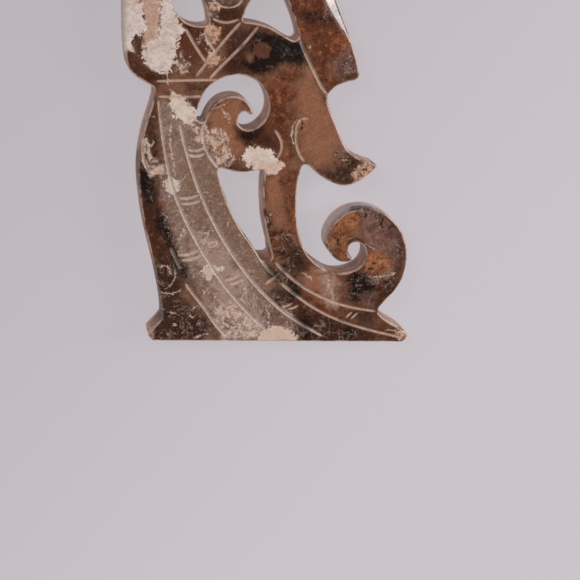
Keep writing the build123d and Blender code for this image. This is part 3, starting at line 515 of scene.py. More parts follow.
# Small chips out of the rim: place in the plan, height, radius and depth, all in millimetres.
CHIPS = [
    (26.9, -38.9, 5.0, 1.1, 0.30),
    (26.2, -38.2, 5.0, 0.8, 0.18),
    (-20.7, -38.4, 5.0, 1.2, 0.28),
    (-27.1, 17.2, 5.0, 0.9, 0.16),
    (-27.0, 12.4, 5.0, 0.6, 0.14),
    (18.1, -7.3, 5.0, 0.7, 0.20),
    (16.4, -9.2, 5.0, 0.8, 0.12),
    (13.4, 7.2, 5.0, 0.9, 0.15),
    (-22.6, -28.4, 5.0, 0.7, 0.12),
    (22.9, -31.2, 5.0, 0.9, 0.12),
    (4.6, -40.0, 4.7, 1.0, 0.12),
    (-6.2, -40.0, 4.7, 0.8, 0.14),
    (-20.6, -39.0, 0.3, 1.0, 0.20),
    (25.4, 2.0, 0.2, 0.8, 0.15),
    (-10.0, 39.9, 4.8, 1.2, 0.16),
    (6.8, 29.6, 4.9, 0.9, 0.14),
    (-26.2, 27.0, 0.2, 1.0, 0.18),
]
# A chip's slant into the stone, how far it reaches in radii, and how deep it may go in depths.
CHIP_SLANT = 1.2
CHIP_REACH = 1.6
CHIP_DEEPEST = 1.4
# Round pits in the front: place, radius and depth.
PITS = [
    (-21.0, -4.6, 0.55, 0.12), (-13.6, 1.4, 0.30, 0.06), (-19.9, -22.9, 0.35, 0.07),
    (-9.9, -25.2, 0.28, 0.09), (-14.2, 6.2, 0.28, 0.05), (-12.2, 5.4, 0.25, 0.05),
    (15.6, -21.6, 0.40, 0.10), (12.0, -24.8, 0.35, 0.09), (21.4, -19.2, 0.45, 0.08),
    (-26.0, 17.9, 0.40, 0.10), (-21.4, 19.6, 0.35, 0.09), (6.2, -3.2, 0.30, 0.04),
    (-0.4, -17.4, 0.40, 0.09), (-16.6, -37.2, 0.50, 0.10), (10.4, -37.6, 0.45, 0.07),
    (2.0, 30.0, 0.40, 0.08),
]

# Where the rim is more or less worn than elsewhere: place in the plan, reach and added radius.
WORN_RIMS = [(14.0, 27.0, 22.0, -0.25), (24.0, -34.6, 4.5, 0.40), (-28.0, 16.0, 6.0, 0.25)]
# How much the rim's radius differs from place to place, as shares of it, and the bore's rim.
RIM_SPREAD = 0.28
RIM_FINE_SPREAD = 0.12
BORE_ROUND = 0.18
BORE_RIM_REACH = 2.0

# Where the front slopes off towards the rim: place in the plan, reach, and width at the place itself.
BEVELS = [(14.0, 27.0, 14.1, 9.5)]
BEVEL_WIDEST = 3.4
BEVEL_LEAST = 1e-3
BEVEL_SLOPE = 0.35

# Where the wall leans out towards the back: place in the plan, reach, and how far the back edge stands out.
WALL_LEANS = [
    (-0.3, -24.6, 2.6, (-0.55, 0.75)), (14.2, -23.4, 1.7, (1.1, 0.5)), (15.0, -21.6, 1.2, (0.2, -0.5)),
]
# The way, in the plan, that the walls painted paler face: painted light and painted reflection on the walls
# turned towards the key light and the camera.
LIT_WALL_WAY = np.array([-0.57, 0.82])
# How deep the soft dips in the faces and walls are, and how far the walls' noise moves on towards the foot.
FACE_DIP = 0.035
WALL_DIP = 0.05
WALL_NOISE_STEP = 40.0

# Colours as seen on the stone, red, green and blue from 0 to 255.
STONE = {
    "base_dark": (92, 56, 40), "base_light": (126, 89, 69), "tan": (142, 95, 72), "russet": (120, 68, 46),
    "russet_deep": (90, 49, 33), "orange": (166, 108, 74), "orange_deep": (128, 74, 50),
    "haze": (148, 120, 108), "haze_deep": (120, 94, 82), "mist": (160, 132, 121), "mauve": (132, 99, 90),
    "mauve_deep": (94, 62, 55), "dark": (60, 37, 29), "black": (27, 20, 18), "slate": (62, 59, 61),
    "spot": (98, 62, 48), "pink": (186, 151, 135), "rosy": (192, 152, 131), "cream": (205, 189, 182),
    "cream_deep": (186, 163, 151), "pale": (192, 167, 152), "chalk": (208, 190, 179),
    "chalk_deep": (190, 167, 153), "line": (184, 159, 149), "line_warm": (184, 148, 129),
    # The walls' colours and the pale edge are laid on partly as painted light and painted highlight, and the
    # pale grey after them as painted reflection.
    "wall": (192, 157, 141), "wall_deep": (164, 114, 90), "edge": (196, 164, 149), "sheen_grey": (200, 181, 178),
    "olive": (124, 97, 80),
}
# The studio light on the stone, and the brightest colour of its own that the stone may have.
LIGHT_LEVEL = 1.02
BRIGHTEST = 0.9
# What the polish adds to every colour, which is taken off before the colour goes on.
GLARE = 0.0035

# The stone's noises: size of their features in millimetres, detail, roughness and twist.
NOISES = {
    "cloud": (8.0, 6.0, 0.62, 0.6),
    "patchy": (3.4, 9.0, 0.68, 0.8),
    "ragged": (1.7, 9.0, 0.66, 0.3),
    "feathery": (0.85, 8.0, 0.68, 0.9),
    "crumbs": (0.42, 5.0, 0.66, 0.4),
    "grit": (0.16, 3.0, 0.6, 0.0),
    "threads": (1.9, 6.0, 0.62, 1.6),
    "scratches": (2.6, 6.0, 0.66, 1.2),
    "flecks": (0.75, 6.0, 0.7, 0.7),
    "fleck_beds": (5.0, 4.0, 0.6, 0.0),
    "rim_wear_and_glint": (3.0, 5.0, 0.66, 0.0),
    "light_specks": (0.36, 3.0, 0.6, 0.0),
    "stain_spots": (1.5, 7.0, 0.7, 0.9),
    "lichen": (1.1, 7.0, 0.7, 1.4),
    "fill": (2.6, 5.0, 0.66, 0.0),
}
# How each kind of stain shows: how far noise shakes it, the levels where it starts and is full, and strength.
ZONE_LOOKS = {
    "tan": (1.8, 0.28, 0.76, 0.95),
    "russet": (2.0, 0.26, 0.74, 0.95),
    "orange": (2.0, 0.28, 0.72, 0.95),
    "haze": (2.0, 0.22, 0.78, 0.95),
    "mist": (2.2, 0.25, 0.85, 0.9),
    "olive": (2.2, 0.22, 0.82, 0.85),
    "mauve": (2.0, 0.26, 0.76, 0.85),
    "dark": (1.8, 0.22, 0.78, 0.85),
    "black": (1.7, 0.24, 0.72, 0.97),
    "slate": (3.6, 0.60, 0.90, 0.4),
    "spot": (1.4, 0.42, 0.60, 0.85),
    "shade": (1.2, 0.30, 0.70, 0.95),
    "painted_wall_sheen": (1.0, 0.30, 0.70, 0.9),
    "pink": (1.4, 0.40, 0.62, 0.95),
    "rosy": (2.4, 0.32, 0.66, 0.9),
    "cream": (2.0, 0.42, 0.56, 0.97),
    "pale": (1.8, 0.32, 0.66, 0.9),
    "chalk": (1.9, 0.42, 0.55, 0.97),
}

# The floor, a light table, in metres. It glows a little so that the pierced gaps stay bright.
FLOOR_SIZE = 3.0
FLOOR_DROP = 0.00004
FLOOR_COLOUR = (0.06, 0.056, 0.059, 1.0)
# The glow grows along this way, from its weakest 1 unit before the middle to its strongest 1 unit after it.
FLOOR_FALL = (10.0, -8.0, 0.0)
GLOW_WEAK = (0.80, 0.745, 0.785, 1.0)
GLOW_STRONG = (1.0, 0.935, 0.98, 1.0)

# The camera, in pixels of the photograph's width and in millimetres in the plaque's frame.
FOCAL_PX = 1500.0
FRAME_PX = 580.0
SENSOR_MM = 36.0
NEAREST_SEEN_M = 0.01
AIM = Vector((4.509, -30.295, 5.0))
TO_EYE = Vector((-0.240, 0.345, 1.0)).normalized()
EYE_DISTANCE = 263.16
ROLL = math.radians(5.08)


def place(spot):
    """Plan millimetres from shares across and up."""
    return ((spot[0] - 0.5) * WIDTH, (spot[1] - 0.5) * HEIGHT)


def run_along(line):
    """The way along a line to each of its points."""
    return np.concatenate([[0.0], np.cumsum(np.linalg.norm(np.diff(line, axis=0), axis=1))])


def smooth_curve(spots, step):
    """Points every step millimetres along one smooth curve through the spots."""
    knots = np.array(spots, float)
    gaps = np.linalg.norm(np.diff(knots, axis=0), axis=1)
    along = run_along(knots)
    count = len(knots)
    system = np.eye(count)
    right_side = np.zeros((count, 2))
    for i in range(1, count - 1):
        system[i, i - 1:i + 2] = gaps[i - 1], 2 * (gaps[i - 1] + gaps[i]), gaps[i]
        right_side[i] = 6 * ((knots[i + 1] - knots[i]) / gaps[i] - (knots[i] - knots[i - 1]) / gaps[i - 1])
    bend = np.linalg.solve(system, right_side)
    at = np.linspace(0.0, along[-1], max(3, int(round(along[-1] / step)) + 1))
    k = np.clip(np.searchsorted(along, at, side="right") - 1, 0, count - 2)
    h = gaps[k][:, None]
    a = (along[k + 1] - at)[:, None] / h
    b = 1.0 - a
    bulge = ((a ** 3 - a) * bend[k] + (b ** 3 - b) * bend[k + 1]) * h ** 2 / 6
    return a * knots[k] + b * knots[k + 1] + bulge


def side_normals(line, closed):
    """Unit normals on the left of each point's way along the line."""
    if closed:
        way = np.roll(line, -1, axis=0) - np.roll(line, 1, axis=0)
    else:
        way = np.gradient(line, axis=0)
    way /= np.linalg.norm(way, axis=1)[:, None]
    return np.column_stack([-way[:, 1], way[:, 0]])


def wobble(points, size, seed):
    """Smooth noise from -1 to 1 at each point, with features about that many millimetres wide."""
    return np.array([noise.noise((p[0] / size + seed, p[1] / size - seed, seed * 1.7)) for p in points])


def wobble_pair(points, size, seeds):
    """Two wobbles, as a shift in the plan."""
    return np.column_stack([wobble(points, size, seed) for seed in seeds])


def half_wave(points, size, seed):
    """A wobble that goes from 0 to 1."""
    return 0.5 + 0.5 * wobble(points, size, seed)


def nearness(points, x, y, reach):
    """1 at a spot in the plan, and down to 0 at its reach."""
    return np.clip(1.0 - np.hypot(points[:, 0] - x, points[:, 1] - y) / reach, 0.0, 1.0)


def eased(part):
    """A value from 0 to 1, given a soft start and end."""
    return part * part * (3 - 2 * part)


def outline_rings(node):
    """The plaque's upright walls as rings in plan millimetres."""
    level = (THICKNESS - EDGE_ROUND) * MM
    spots = {}
    merged = []
    at_level = []
    for v in node.data.vertices:
        key = (round(v.co.x / MM, 3), round(v.co.y / MM, 3))
        merged.append(spots.setdefault(key, len(spots)))
        at_level.append(abs(v.co.z - level) < LEVEL_SLACK * MM)
    places = list(spots)
    links = {}
    for e in node.data.edges:
        a, b = e.vertices
        if at_level[a] and at_level[b] and merged[a] != merged[b]:
            links.setdefault(merged[a], set()).add(merged[b])
            links.setdefault(merged[b], set()).add(merged[a])
    rings = []
    while links:
        start = min(links)
        ring = [start]
        before, here = None, start
        while True:
            onward = sorted(n for n in links[here] if n != before)
            before, here = here, onward[0]
            if here == start:
                break
            ring.append(here)
        for k in ring:
            links.pop(k)
        rings.append(np.array([places[k] for k in ring], float))
    return rings


def even_ring(ring, step):
    """The same closed ring with points an even step apart."""
    closed = np.vstack([ring, ring[:1]])
    along = run_along(closed)
    at = np.linspace(0.0, along[-1], int(round(along[-1] / step)), endpoint=False)
    return np.column_stack([np.interp(at, along, closed[:, 0]), np.interp(at, along, closed[:, 1])])


def ring_area(ring):
    """The area inside a ring, less than 0 where it runs clockwise."""
    x, y = ring[:, 0], ring[:, 1]
    return 0.5 * float(np.sum(x * np.roll(y, -1) - np.roll(x, -1) * y))


def ring_segments(rings):
    """The start and the end of each segment of the closed rings."""
    return np.vstack(rings), np.vstack([np.roll(ring, -1, axis=0) for ring in rings])


def nearest(points, starts, ends, rows=800):
    """For each point, the distance to the nearest segment, which one that is, and how far along it."""
    way = ends - starts
    length2 = np.maximum((way ** 2).sum(1), TINY)
    far = np.empty(len(points))
    which = np.empty(len(points), int)
    part = np.empty(len(points))
    for i in range(0, len(points), rows):
        block = points[i:i + rows]
        rel_x = block[:, None, 0] - starts[None, :, 0]
        rel_y = block[:, None, 1] - starts[None, :, 1]
        t = np.clip((rel_x * way[:, 0] + rel_y * way[:, 1]) / length2, 0.0, 1.0)
        d2 = (rel_x - t * way[:, 0]) ** 2 + (rel_y - t * way[:, 1]) ** 2
        k = d2.argmin(1)
        rows_here = np.arange(len(block))
        far[i:i + rows] = np.sqrt(d2[rows_here, k])
        which[i:i + rows] = k
        part[i:i + rows] = t[rows_here, k]
    return far, which, part


def nearest_fine(points, starts, ends):
    """As nearest, for many short segments of like length: the three with the nearest middles are tried."""
    tree = KDTree(len(starts))
    for i, (x, y) in enumerate((starts + ends) / 2):
        tree.insert((x, y, 0.0), i)
    tree.balance()
    tried = np.array([[hit[1] for hit in tree.find_n((x, y, 0.0), 3)] for x, y in points])
    way = ends[tried] - starts[tried]
    rel = points[:, None, :] - starts[tried]
    t = np.clip((rel * way).sum(2) / np.maximum((way ** 2).sum(2), TINY), 0.0, 1.0)
    d2 = ((rel - way * t[:, :, None]) ** 2).sum(2)
    best = d2.argmin(1)
    rows = np.arange(len(points))
    return np.sqrt(d2[rows, best]), tried[rows, best], t[rows, best]


def inside_ring(points, ring):
    """True where a point is inside the closed ring."""
    x, y = points[:, 0], points[:, 1]
    found = np.zeros(len(points), bool)
    for a, b in zip(ring, np.roll(ring, -1, axis=0)):
        crosses = (a[1] > y) != (b[1] > y)
        if a[1] != b[1]:
            found ^= crosses & (x < (b[0] - a[0]) * (y - a[1]) / (b[1] - a[1]) + a[0])
    return found


def in_stone(points, rings):
    """True where a point is inside the outer ring and outside each pierced one."""
    found = inside_ring(points, rings[0])
    for ring in rings[1:]:
        found &= ~inside_ring(points, ring)
    return found


class Strokes:
    """Lines on a face as chains of segments, with each one's half width and its run from the nearer end."""

    def __init__(self, groups):
        self.lines = []
        starts, ends, half, run = [], [], [], []
        for spots_list, half_width in groups:
            for spots in spots_list:
                line = smooth_curve(spots, LINE_STEP)
                self.lines.append((line, half_width))
                from_start = run_along(line)
                to_end = np.minimum(from_start, from_start[-1] - from_start)
                starts.append(line[:-1])
                ends.append(line[1:])
                half.append(np.full(len(line) - 1, half_width))
                run.append(np.column_stack([to_end[:-1], to_end[1:]]))
        self.starts = np.vstack(starts)
        self.ends = np.vstack(ends)
        self.half = np.concatenate(half)
        self.run = np.vstack(run)

    def profile(self, points):
        """How deep, from 0 to 1, each point is in a line, and a wider soft band around the lines."""
        far, which, part = nearest_fine(points, self.starts, self.ends)
        to_end = self.run[which, 0] * (1 - part) + self.run[which, 1] * part
        taper = np.clip(to_end / LINE_TAPER, 0.0, 1.0)
        taper = END_DEPTH + (1 - END_DEPTH) * taper * (2 - taper)
        half = self.half[which] * (BARE_WIDTH + (1 - BARE_WIDTH) * taper)
        across = np.clip(far / half, 0.0, 1.0)
        deep = (1 - across ** 2) ** LINE_ROUND * taper
        band = np.clip(BAND_REACH - far / half, 0.0, 1.0) * np.clip(taper * BAND_LEAD, 0.0, 1.0)
        return deep, band

    def rows(self, offsets):
        """Mesh points in rows along both sides of each line, at offsets in half widths."""
        rows = []
        for line, half_width in self.lines:
            normals = side_normals(line, False)
            rows += [line + normals * offset * half_width for offset in offsets]
        return np.vstack(rows)


def thin_out(points, cell):
    """Drops points that are closer than a cell to an earlier one."""
    seen = {}
    kept = []
    for i, (x, y) in enumerate(points):
        key = (int(math.floor(x / cell)), int(math.floor(y / cell)))
        close = False
        for dx in (-1, 0, 1):
            for dy in (-1, 0, 1):
                for j in seen.get((key[0] + dx, key[1] + dy), ()):
                    if (points[j][0] - x) ** 2 + (points[j][1] - y) ** 2 < cell * cell:
                        close = True
        if not close:
            seen.setdefault(key, []).append(i)
            kept.append(i)
    return points[kept]


def grid_points(step):
    """A slightly shaken triangular grid over the whole plan."""
    points = []
    row = 0
    y = -HEIGHT / 2
    while y < HEIGHT / 2:
        x = -WIDTH / 2 + (step / 2 if row % 2 else 0.0)
        while x < WIDTH / 2:
            points.append((x, y))
            x += step
        y += step * math.sqrt(3) / 2
        row += 1
    points = np.array(points)
    return points + wobble_pair(points, size=step * 0.7, seeds=(3.1, 8.4)) * step * GRID_SHAKE


def face_mesh(rings, strokes, veins, grid_step, offsets, insets):
    """A flat triangle mesh of one face, and where each of the rings' own points is in it."""
    starts, ends = ring_segments(rings)

    def away_from_rim(points, least):
        return points[nearest_fine(points, starts, ends)[0] > least]

    rim = np.vstack([ring + side_normals(ring, True) * inset for inset in insets for ring in rings])
    rim_inset = np.concatenate([np.full(len(ring), inset) for inset in insets for ring in rings])
    rim = away_from_rim(rim, rim_inset * RIM_KEEP)
    lines = strokes.rows(offsets)
    if veins:
        lines = np.vstack([lines, veins.rows(VEIN_ROWS)])
    lines = away_from_rim(lines[in_stone(lines, rings)], insets[-1] * LINE_CLEAR)
    grid = grid_points(grid_step)
    grid = away_from_rim(grid[in_stone(grid, rings)], insets[-1] + grid_step * GRID_CLEAR_RIM)
    near_line, _, _ = nearest_fine(grid, strokes.starts, strokes.ends)
    grid = grid[near_line > LINE_HALF + grid_step * GRID_CLEAR_LINE]
    points = np.vstack([starts, rim, thin_out(np.vstack([lines, grid]), CLOSEST)])
    edges = []
    first = 0
    for ring in rings:
        count = len(ring)
        edges += [(first + i, first + (i + 1) % count) for i in range(count)]
        first += count
    verts, _, faces, origins, _, _ = delaunay_2d_cdt(
        [Vector(p) for p in points], edges, [], INSIDE_WITH_HOLES, MERGE_DISTANCE
    )
    spot_of = {old: new for new, old_ones in enumerate(origins) for old in old_ones}
    ring_index = [spot_of[i] for i in range(len(starts))]
    plan = np.array([(v.x, v.y) for v in verts])
    corners = np.array([tuple(f) for f in faces])
    kept = in_stone(plan[corners].mean(axis=1), rings)
    return plan, corners[kept].tolist(), ring_index


def counter_clockwise(plan, faces):
    """The same faces, each turned so that its corners run counter-clockwise in the plan."""
    turned = []
    for a, b, c in faces:
        to_b = plan[b] - plan[a]
        to_c = plan[c] - plan[a]
        turned.append((a, b, c) if to_b[0] * to_c[1] - to_c[0] * to_b[1] > 0 else (a, c, b))
    return turned


def rim_radius(points, bore):
    """The worn rounding at the rim, which differs a little from place to place, and is small at the bore."""
    coarse = wobble(points, size=5.0, seed=2.3)
    fine = wobble(points, size=1.1, seed=7.9)
    radius = EDGE_ROUND * (1.0 + RIM_SPREAD * coarse + RIM_FINE_SPREAD * fine)
    for x, y, reach, more in WORN_RIMS:
        radius = radius + more * eased(nearness(points, x, y, reach))
    near_bore = np.linalg.norm(points - bore, axis=1) < BORE_RIM_REACH
    return np.where(near_bore, BORE_ROUND, radius)


def rim_drop(far, radius):
    """How far the rounded rim is below the face, at that distance from the outline."""
    inner = np.clip(radius - far, 0.0, None)
    return radius - np.sqrt(np.clip(radius ** 2 - inner ** 2, 0.0, None))


def bevel_drop(points, far):
    """How far the sloping margins are below the face."""
    drop = np.zeros(len(points))
    for x, y, reach, most in BEVELS:
        width = np.clip(most * nearness(points, x, y, reach), BEVEL_LEAST, BEVEL_WIDEST)
        part = np.clip(far / width, 0.0, 1.0)
        drop += BEVEL_SLOPE * width * np.where(part > 0.5, (1.0 - part) ** 2, 0.75 - part)
    return drop


def wall_lean(points):
    """How far the foot of the wall stands out from its top."""
    lean = np.zeros_like(points)
    for x, y, reach, way in WALL_LEANS:
        lean += eased(nearness(points, x, y, reach))[:, None] * np.array(way)
    return lean


def knock_chips(verts, starts, ends):
    """Presses a shallow round hollow into the rim at each chip."""
    for x, y, z, radius, depth in CHIPS:
        _, which, _ = nearest(np.array([[x, y]]), starts, ends)
        rim = starts[which[0]]
        way = ends[which[0]] - rim
        way /= np.linalg.norm(way)
        into = np.array([-way[1], way[0], -CHIP_SLANT if z > THICKNESS / 2 else CHIP_SLANT])
        into /= np.linalg.norm(into)
        ball = radius ** 2 / (2 * depth) + depth / 2
        spot = np.array([*rim, z])
        rel = verts - (spot - into * (ball - depth))
        along = rel @ into
        across2 = (rel ** 2).sum(1) - along ** 2
        reach = np.sqrt(np.clip(ball ** 2 - across2, 0.0, None))
        near = (np.linalg.norm(verts - spot, axis=1) < radius * CHIP_REACH) & (across2 < ball ** 2)
        verts += np.where(near, np.clip(reach - along, 0.0, depth * CHIP_DEEPEST), 0.0)[:, None] * into


def press_pits(verts, side):
    """Presses the round pits into the front."""
    for x, y, radius, depth in PITS:
        away = np.hypot(verts[:, 0] - x, verts[:, 1] - y)
        hit = (away < radius) & (verts[:, 2] > THICKNESS / 2) & (side < 0.5)
        verts[:, 2] -= np.where(hit, depth * (1 - (away / radius) ** 2), 0.0)


def stain_field(points, zones, reach):
    """One kind of stain: 0.5 on its zones' outlines, up to 1 inside and down to 0 outside."""
    field = np.zeros(len(points))
    for spots in zones.values():
        ring = np.array(spots, float)
        far, _, _ = nearest(points, *ring_segments([ring]))
        signed = np.where(inside_ring(points, ring), far, -far)
        field = np.maximum(field, np.clip(0.5 + signed / (2 * reach), 0.0, 1.0))
    return field


def stone_fields(verts, veins, cracks):
    """The stains, veins and cracks at each point, and how deep it is below the front."""
    plan = verts[:, :2]
    is_back = verts[:, 2] < THICKNESS / 2
    deep = (THICKNESS - verts[:, 2]) / THICKNESS
    seen = plan + wobble_pair(plan, size=6.0, seeds=(11.0, 15.0)) * STAIN_DRIFT * deep[:, None]
    fields = {kind: stain_field(seen, zones, STAIN_REACH[kind]) for kind, zones in STAINS.items()}
    for kind in ("chalk", "pale"):
        fields[kind] = np.where(is_back, fields[kind] * BACK_CRUST, fields[kind])
    ragged = wobble_pair(plan, size=0.45, seeds=(21.0, 27.0)) * VEIN_SHAKE
    for name, strokes, shake in (("vein", veins, ragged), ("crack", cracks, ragged * CRACK_SHAKE)):
        fields[name] = np.where(is_back, 0.0, strokes.profile(plan + shake)[1])
    fields["deep"] = deep
    return fields


def add_object(name, data):
    """A new object in the scene."""
    made = bpy.data.objects.new(name, data)
    bpy.context.scene.collection.objects.link(made)
    return made


def plaque_rings(bore, bore_radius):
    """The outer ring, counter-clockwise, then the pierced ones and the bore, clockwise."""
    rings = [even_ring(ring, RING_STEP) for ring in outline_rings(frame["nodes"]["dancer_plaque"])]
    rings.sort(key=lambda ring: -abs(ring_area(ring)))
    turns = np.linspace(0.0, 2 * math.pi, BORE_SIDES, endpoint=False)
    rings.append(bore + bore_radius * np.column_stack([np.cos(turns), np.sin(turns)]))
    return [ring if (ring_area(ring) > 0) == (i == 0) else ring[::-1] for i, ring in enumerate(rings)]


def dress_and_head():
    """The lines of the dress and those of the head, in plan millimetres."""
    dress = [[place(spot) for spot in spots] for spots in DRESS_LINES.values()]
    for spots, step in FOLD_TICKS:
        dress.append([place(spot) for spot in spots])
        dress.append([place((across + step[0], up + step[1])) for across, up in spots])
    head = [(spots, 1) for spots in HEAD_LINES.values()]
    head += [(spots, side) for spots in HEAD_PAIRS.values() for side in (-1, 1)]
    return dress, [[place((HEAD_MIDDLE + side * across, up)) for across, up in spots] for spots, side in head]


def build_plaque():
    """The whole stone as one closed mesh: two faces with their lines, and the walls between."""
    bore = {mount["name"]: mount for mount in frame["record"]["mounts"]}["hanging_bore"]
    centre = np.array(bore["pos_m"][:2]) / MM
    rings = plaque_rings(centre, bore["dims"]["r_mm"])
    starts, ends = ring_segments(rings)
    dress, head = dress_and_head()
    front_strokes = Strokes([(dress, LINE_HALF), (head, FACE_LINE_HALF)])
    back_strokes = Strokes([(dress, LINE_HALF)])
    veins = Strokes([(VEINS, VEIN_HALF)])
    cracks = Strokes([(list(CRACKS.values()), CRACK_HALF)])
    front_plan, front_faces, front_ring = face_mesh(
        rings, front_strokes, veins, FRONT_GRID, FRONT_ROWS, RIM_INSETS
    )
    back_plan, back_faces, back_ring = face_mesh(
        rings, back_strokes, None, BACK_GRID, BACK_ROWS, RIM_INSETS[1::2]
    )

    def heights(plan, strokes, seed):
        """How far each point is below its face, the band of lines, and how far round the rim it is."""
        far, _, _ = nearest_fine(plan, starts, ends)
        deep, band = strokes.profile(plan)
        radius = rim_radius(plan, centre)
        drop = rim_drop(far, radius)
        dip = FACE_DIP * half_wave(plan, size=7.0, seed=seed)
        if strokes is front_strokes:
            dip = dip + bevel_drop(plan, far)
        return drop + dip + LINE_DEPTH * deep, band, drop / radius

    sunk_front, band_front, side_front = heights(front_plan, front_strokes, seed=4.4)
    sunk_back, band_back, side_back = heights(back_plan, back_strokes, seed=9.1)
    front = np.column_stack([front_plan, THICKNESS - sunk_front])
    back = np.column_stack([back_plan, sunk_back])
    shift = len(front)
    faces = counter_clockwise(front_plan, front_faces)
    faces += [(a + shift, c + shift, b + shift) for a, b, c in counter_clockwise(back_plan, back_faces)]

    verts = [front, back]
    band = [band_front, band_back]
    side = [side_front, side_back]
    total = len(front) + len(back)
    lit_wall_share = [np.full(total, 0.5)]
    first = 0
    for ring in rings:
        count = len(ring)
        top = front_ring[first:first + count]
        low_ring = back_ring[first:first + count]
        foot = [shift + i for i in low_ring]
        inward = side_normals(ring, True)
        # How far each wall turns towards that way; the material paints the walls paler by it, as painted
        # light and painted reflection.
        facing = 0.5 - 0.5 * (inward @ LIT_WALL_WAY)
        lean = wall_lean(ring)
        back[low_ring, :2] += lean
        lit_wall_share[0][top + foot] = np.tile(facing, 2)
        levels = [top]
        for k in range(1, WALL_LEVELS):
            part = k / WALL_LEVELS
            z = front[top, 2] * (1 - part) + back[low_ring, 2] * part
            wave = half_wave(ring + WALL_NOISE_STEP * part, size=2.6, seed=5.5)
            dip = WALL_DIP * wave * 4 * part * (1 - part)
            verts.append(np.column_stack([ring + inward * dip[:, None] + lean * part, z]))
            band.append(np.zeros(count))
            side.append(np.ones(count))
            lit_wall_share.append(facing)
            levels.append(list(range(total, total + count)))
            total += count
        levels.append(foot)
        for high, low in zip(levels, levels[1:]):
            for i in range(count):
                j = (i + 1) % count
                faces.append((low[i], low[j], high[j], high[i]))
        first += count
    verts = np.vstack(verts)
    side = np.concatenate(side)
    knock_chips(verts, starts, ends)
    press_pits(verts, side)

    mesh = bpy.data.meshes.new("jade_plaque")
    mesh.from_pydata([tuple(v) for v in verts * MM], [], faces)
    mesh.validate()
    mesh.polygons.foreach_set("use_smooth", [True] * len(mesh.polygons))
    fields = stone_fields(verts, veins, cracks)
    fields["line"] = np.concatenate(band)
    fields["side"] = side
    fields["open"] = np.concatenate(lit_wall_share)
    for name, values in fields.items():
        layer = mesh.attributes.new(name, "FLOAT", "POINT")
        layer.data.foreach_set("value", values.astype(np.float32))
    return add_object("jade_plaque", mesh)


def seen_colour(name):
    """The stone's own colour for one that is seen under the studio light."""
    linear = []
    for part in STONE[name]:
        c = part / 255
        c = c / 12.92 if c <= 0.04045 else ((c + 0.055) / 1.055) ** 2.4
        linear.append(min(max(c - GLARE, 0.0) / LIGHT_LEVEL, BRIGHTEST))
    return (*linear, 1.0)


class Recipe:
    """A few short words for building one material's nodes."""

    def __init__(self, name):
        self.material = bpy.data.materials.new(name)
        self.material.use_nodes = True
        self.tree = self.material.node_tree
        self.shader = self.tree.nodes["Principled BSDF"]
        self.place = self.add("ShaderNodeTexCoord").outputs["Object"]
        self.colour = None

    def put(self, node, inputs):
        """Sets or links a node's inputs."""
        for name, value in inputs.items():
            if isinstance(value, bpy.types.NodeSocket):
                self.tree.links.new(value, node.inputs[name])
            else:
                node.inputs[name].default_value = value

    def add(self, kind, inputs=None, **settings):
        """A new node with its settings and inputs."""
        node = self.tree.nodes.new(kind)
        for name, value in settings.items():
            setattr(node, name, value)
        self.put(node, inputs or {})
        return node

    def noise(self, name):
        """One of the stone's noises."""
        size, detail, rough, twist = NOISES[name]
        return self.add("ShaderNodeTexNoise", {
            "Vector": self.place, "Scale": 1.0 / (size * MM), "Detail": detail, "Roughness": rough,
            "Distortion": twist,
        }).outputs["Fac"]

    def field(self, name):
        """One of the values that the mesh has at each point."""
        return self.add("ShaderNodeAttribute", attribute_name=name).outputs["Fac"]

    def chain(self, operation, parts, clamp=False):
        """One operation on the first two parts, then on what comes out and the third, and so on."""
        value = parts[0]
        for part in parts[1:]:
            value = self.add(
                "ShaderNodeMath", {0: value, 1: part}, operation=operation, use_clamp=clamp
            ).outputs[0]
        return value

    def times(self, *parts):
        return self.chain("MULTIPLY", parts)

    def plus(self, *parts, clamp=False):
        return self.chain("ADD", parts, clamp)

    def less(self, *parts):
        return self.chain("SUBTRACT", parts)

    def most(self, *parts):
        return self.chain("MAXIMUM", parts)

    def step(self, value, low, high):
        """Goes smoothly from 0 to 1 as the value goes from low to high."""
        return self.add("ShaderNodeMapRange", {
            "Value": value, "From Min": low, "From Max": high,
        }, interpolation_type="SMOOTHSTEP").outputs["Result"]

    def zone(self, name, shake):
        """How much of one kind of stain shows at each point, with its outline made ragged by a noise."""
        amount, low, high, strength = ZONE_LOOKS[name]
        shaken = self.plus(self.field(name), self.times(self.less(shake, 0.5), amount))
        return self.times(self.step(shaken, low, high), strength)

    def ridge(self, value, width):
        """Thin lines along the middle level of a noise."""
        off = self.add("ShaderNodeMath", {0: self.less(value, 0.5)}, operation="ABSOLUTE")
        return self.step(off.outputs[0], width, 0.0)

    def blend(self, amount, below, above):
        """Two colours mixed. A colour given by name is one of the stone's."""
        below, above = (seen_colour(c) if isinstance(c, str) else c for c in (below, above))
        node = self.add("ShaderNodeMix", data_type="RGBA")
        self.put(node, {"Factor": amount, "A": below, "B": above})
        return node.outputs["Result"]

    def mottled(self, name, value, low, high):
        """One of the stone's colours, broken up by its deeper shade."""
        return self.blend(self.step(value, low, high), name + "_deep", name)

    def lay(self, above, *amounts):
        """Lays a colour over those laid before, as strongly as the product of the amounts."""
        self.colour = self.blend(self.times(*amounts), self.colour, above)


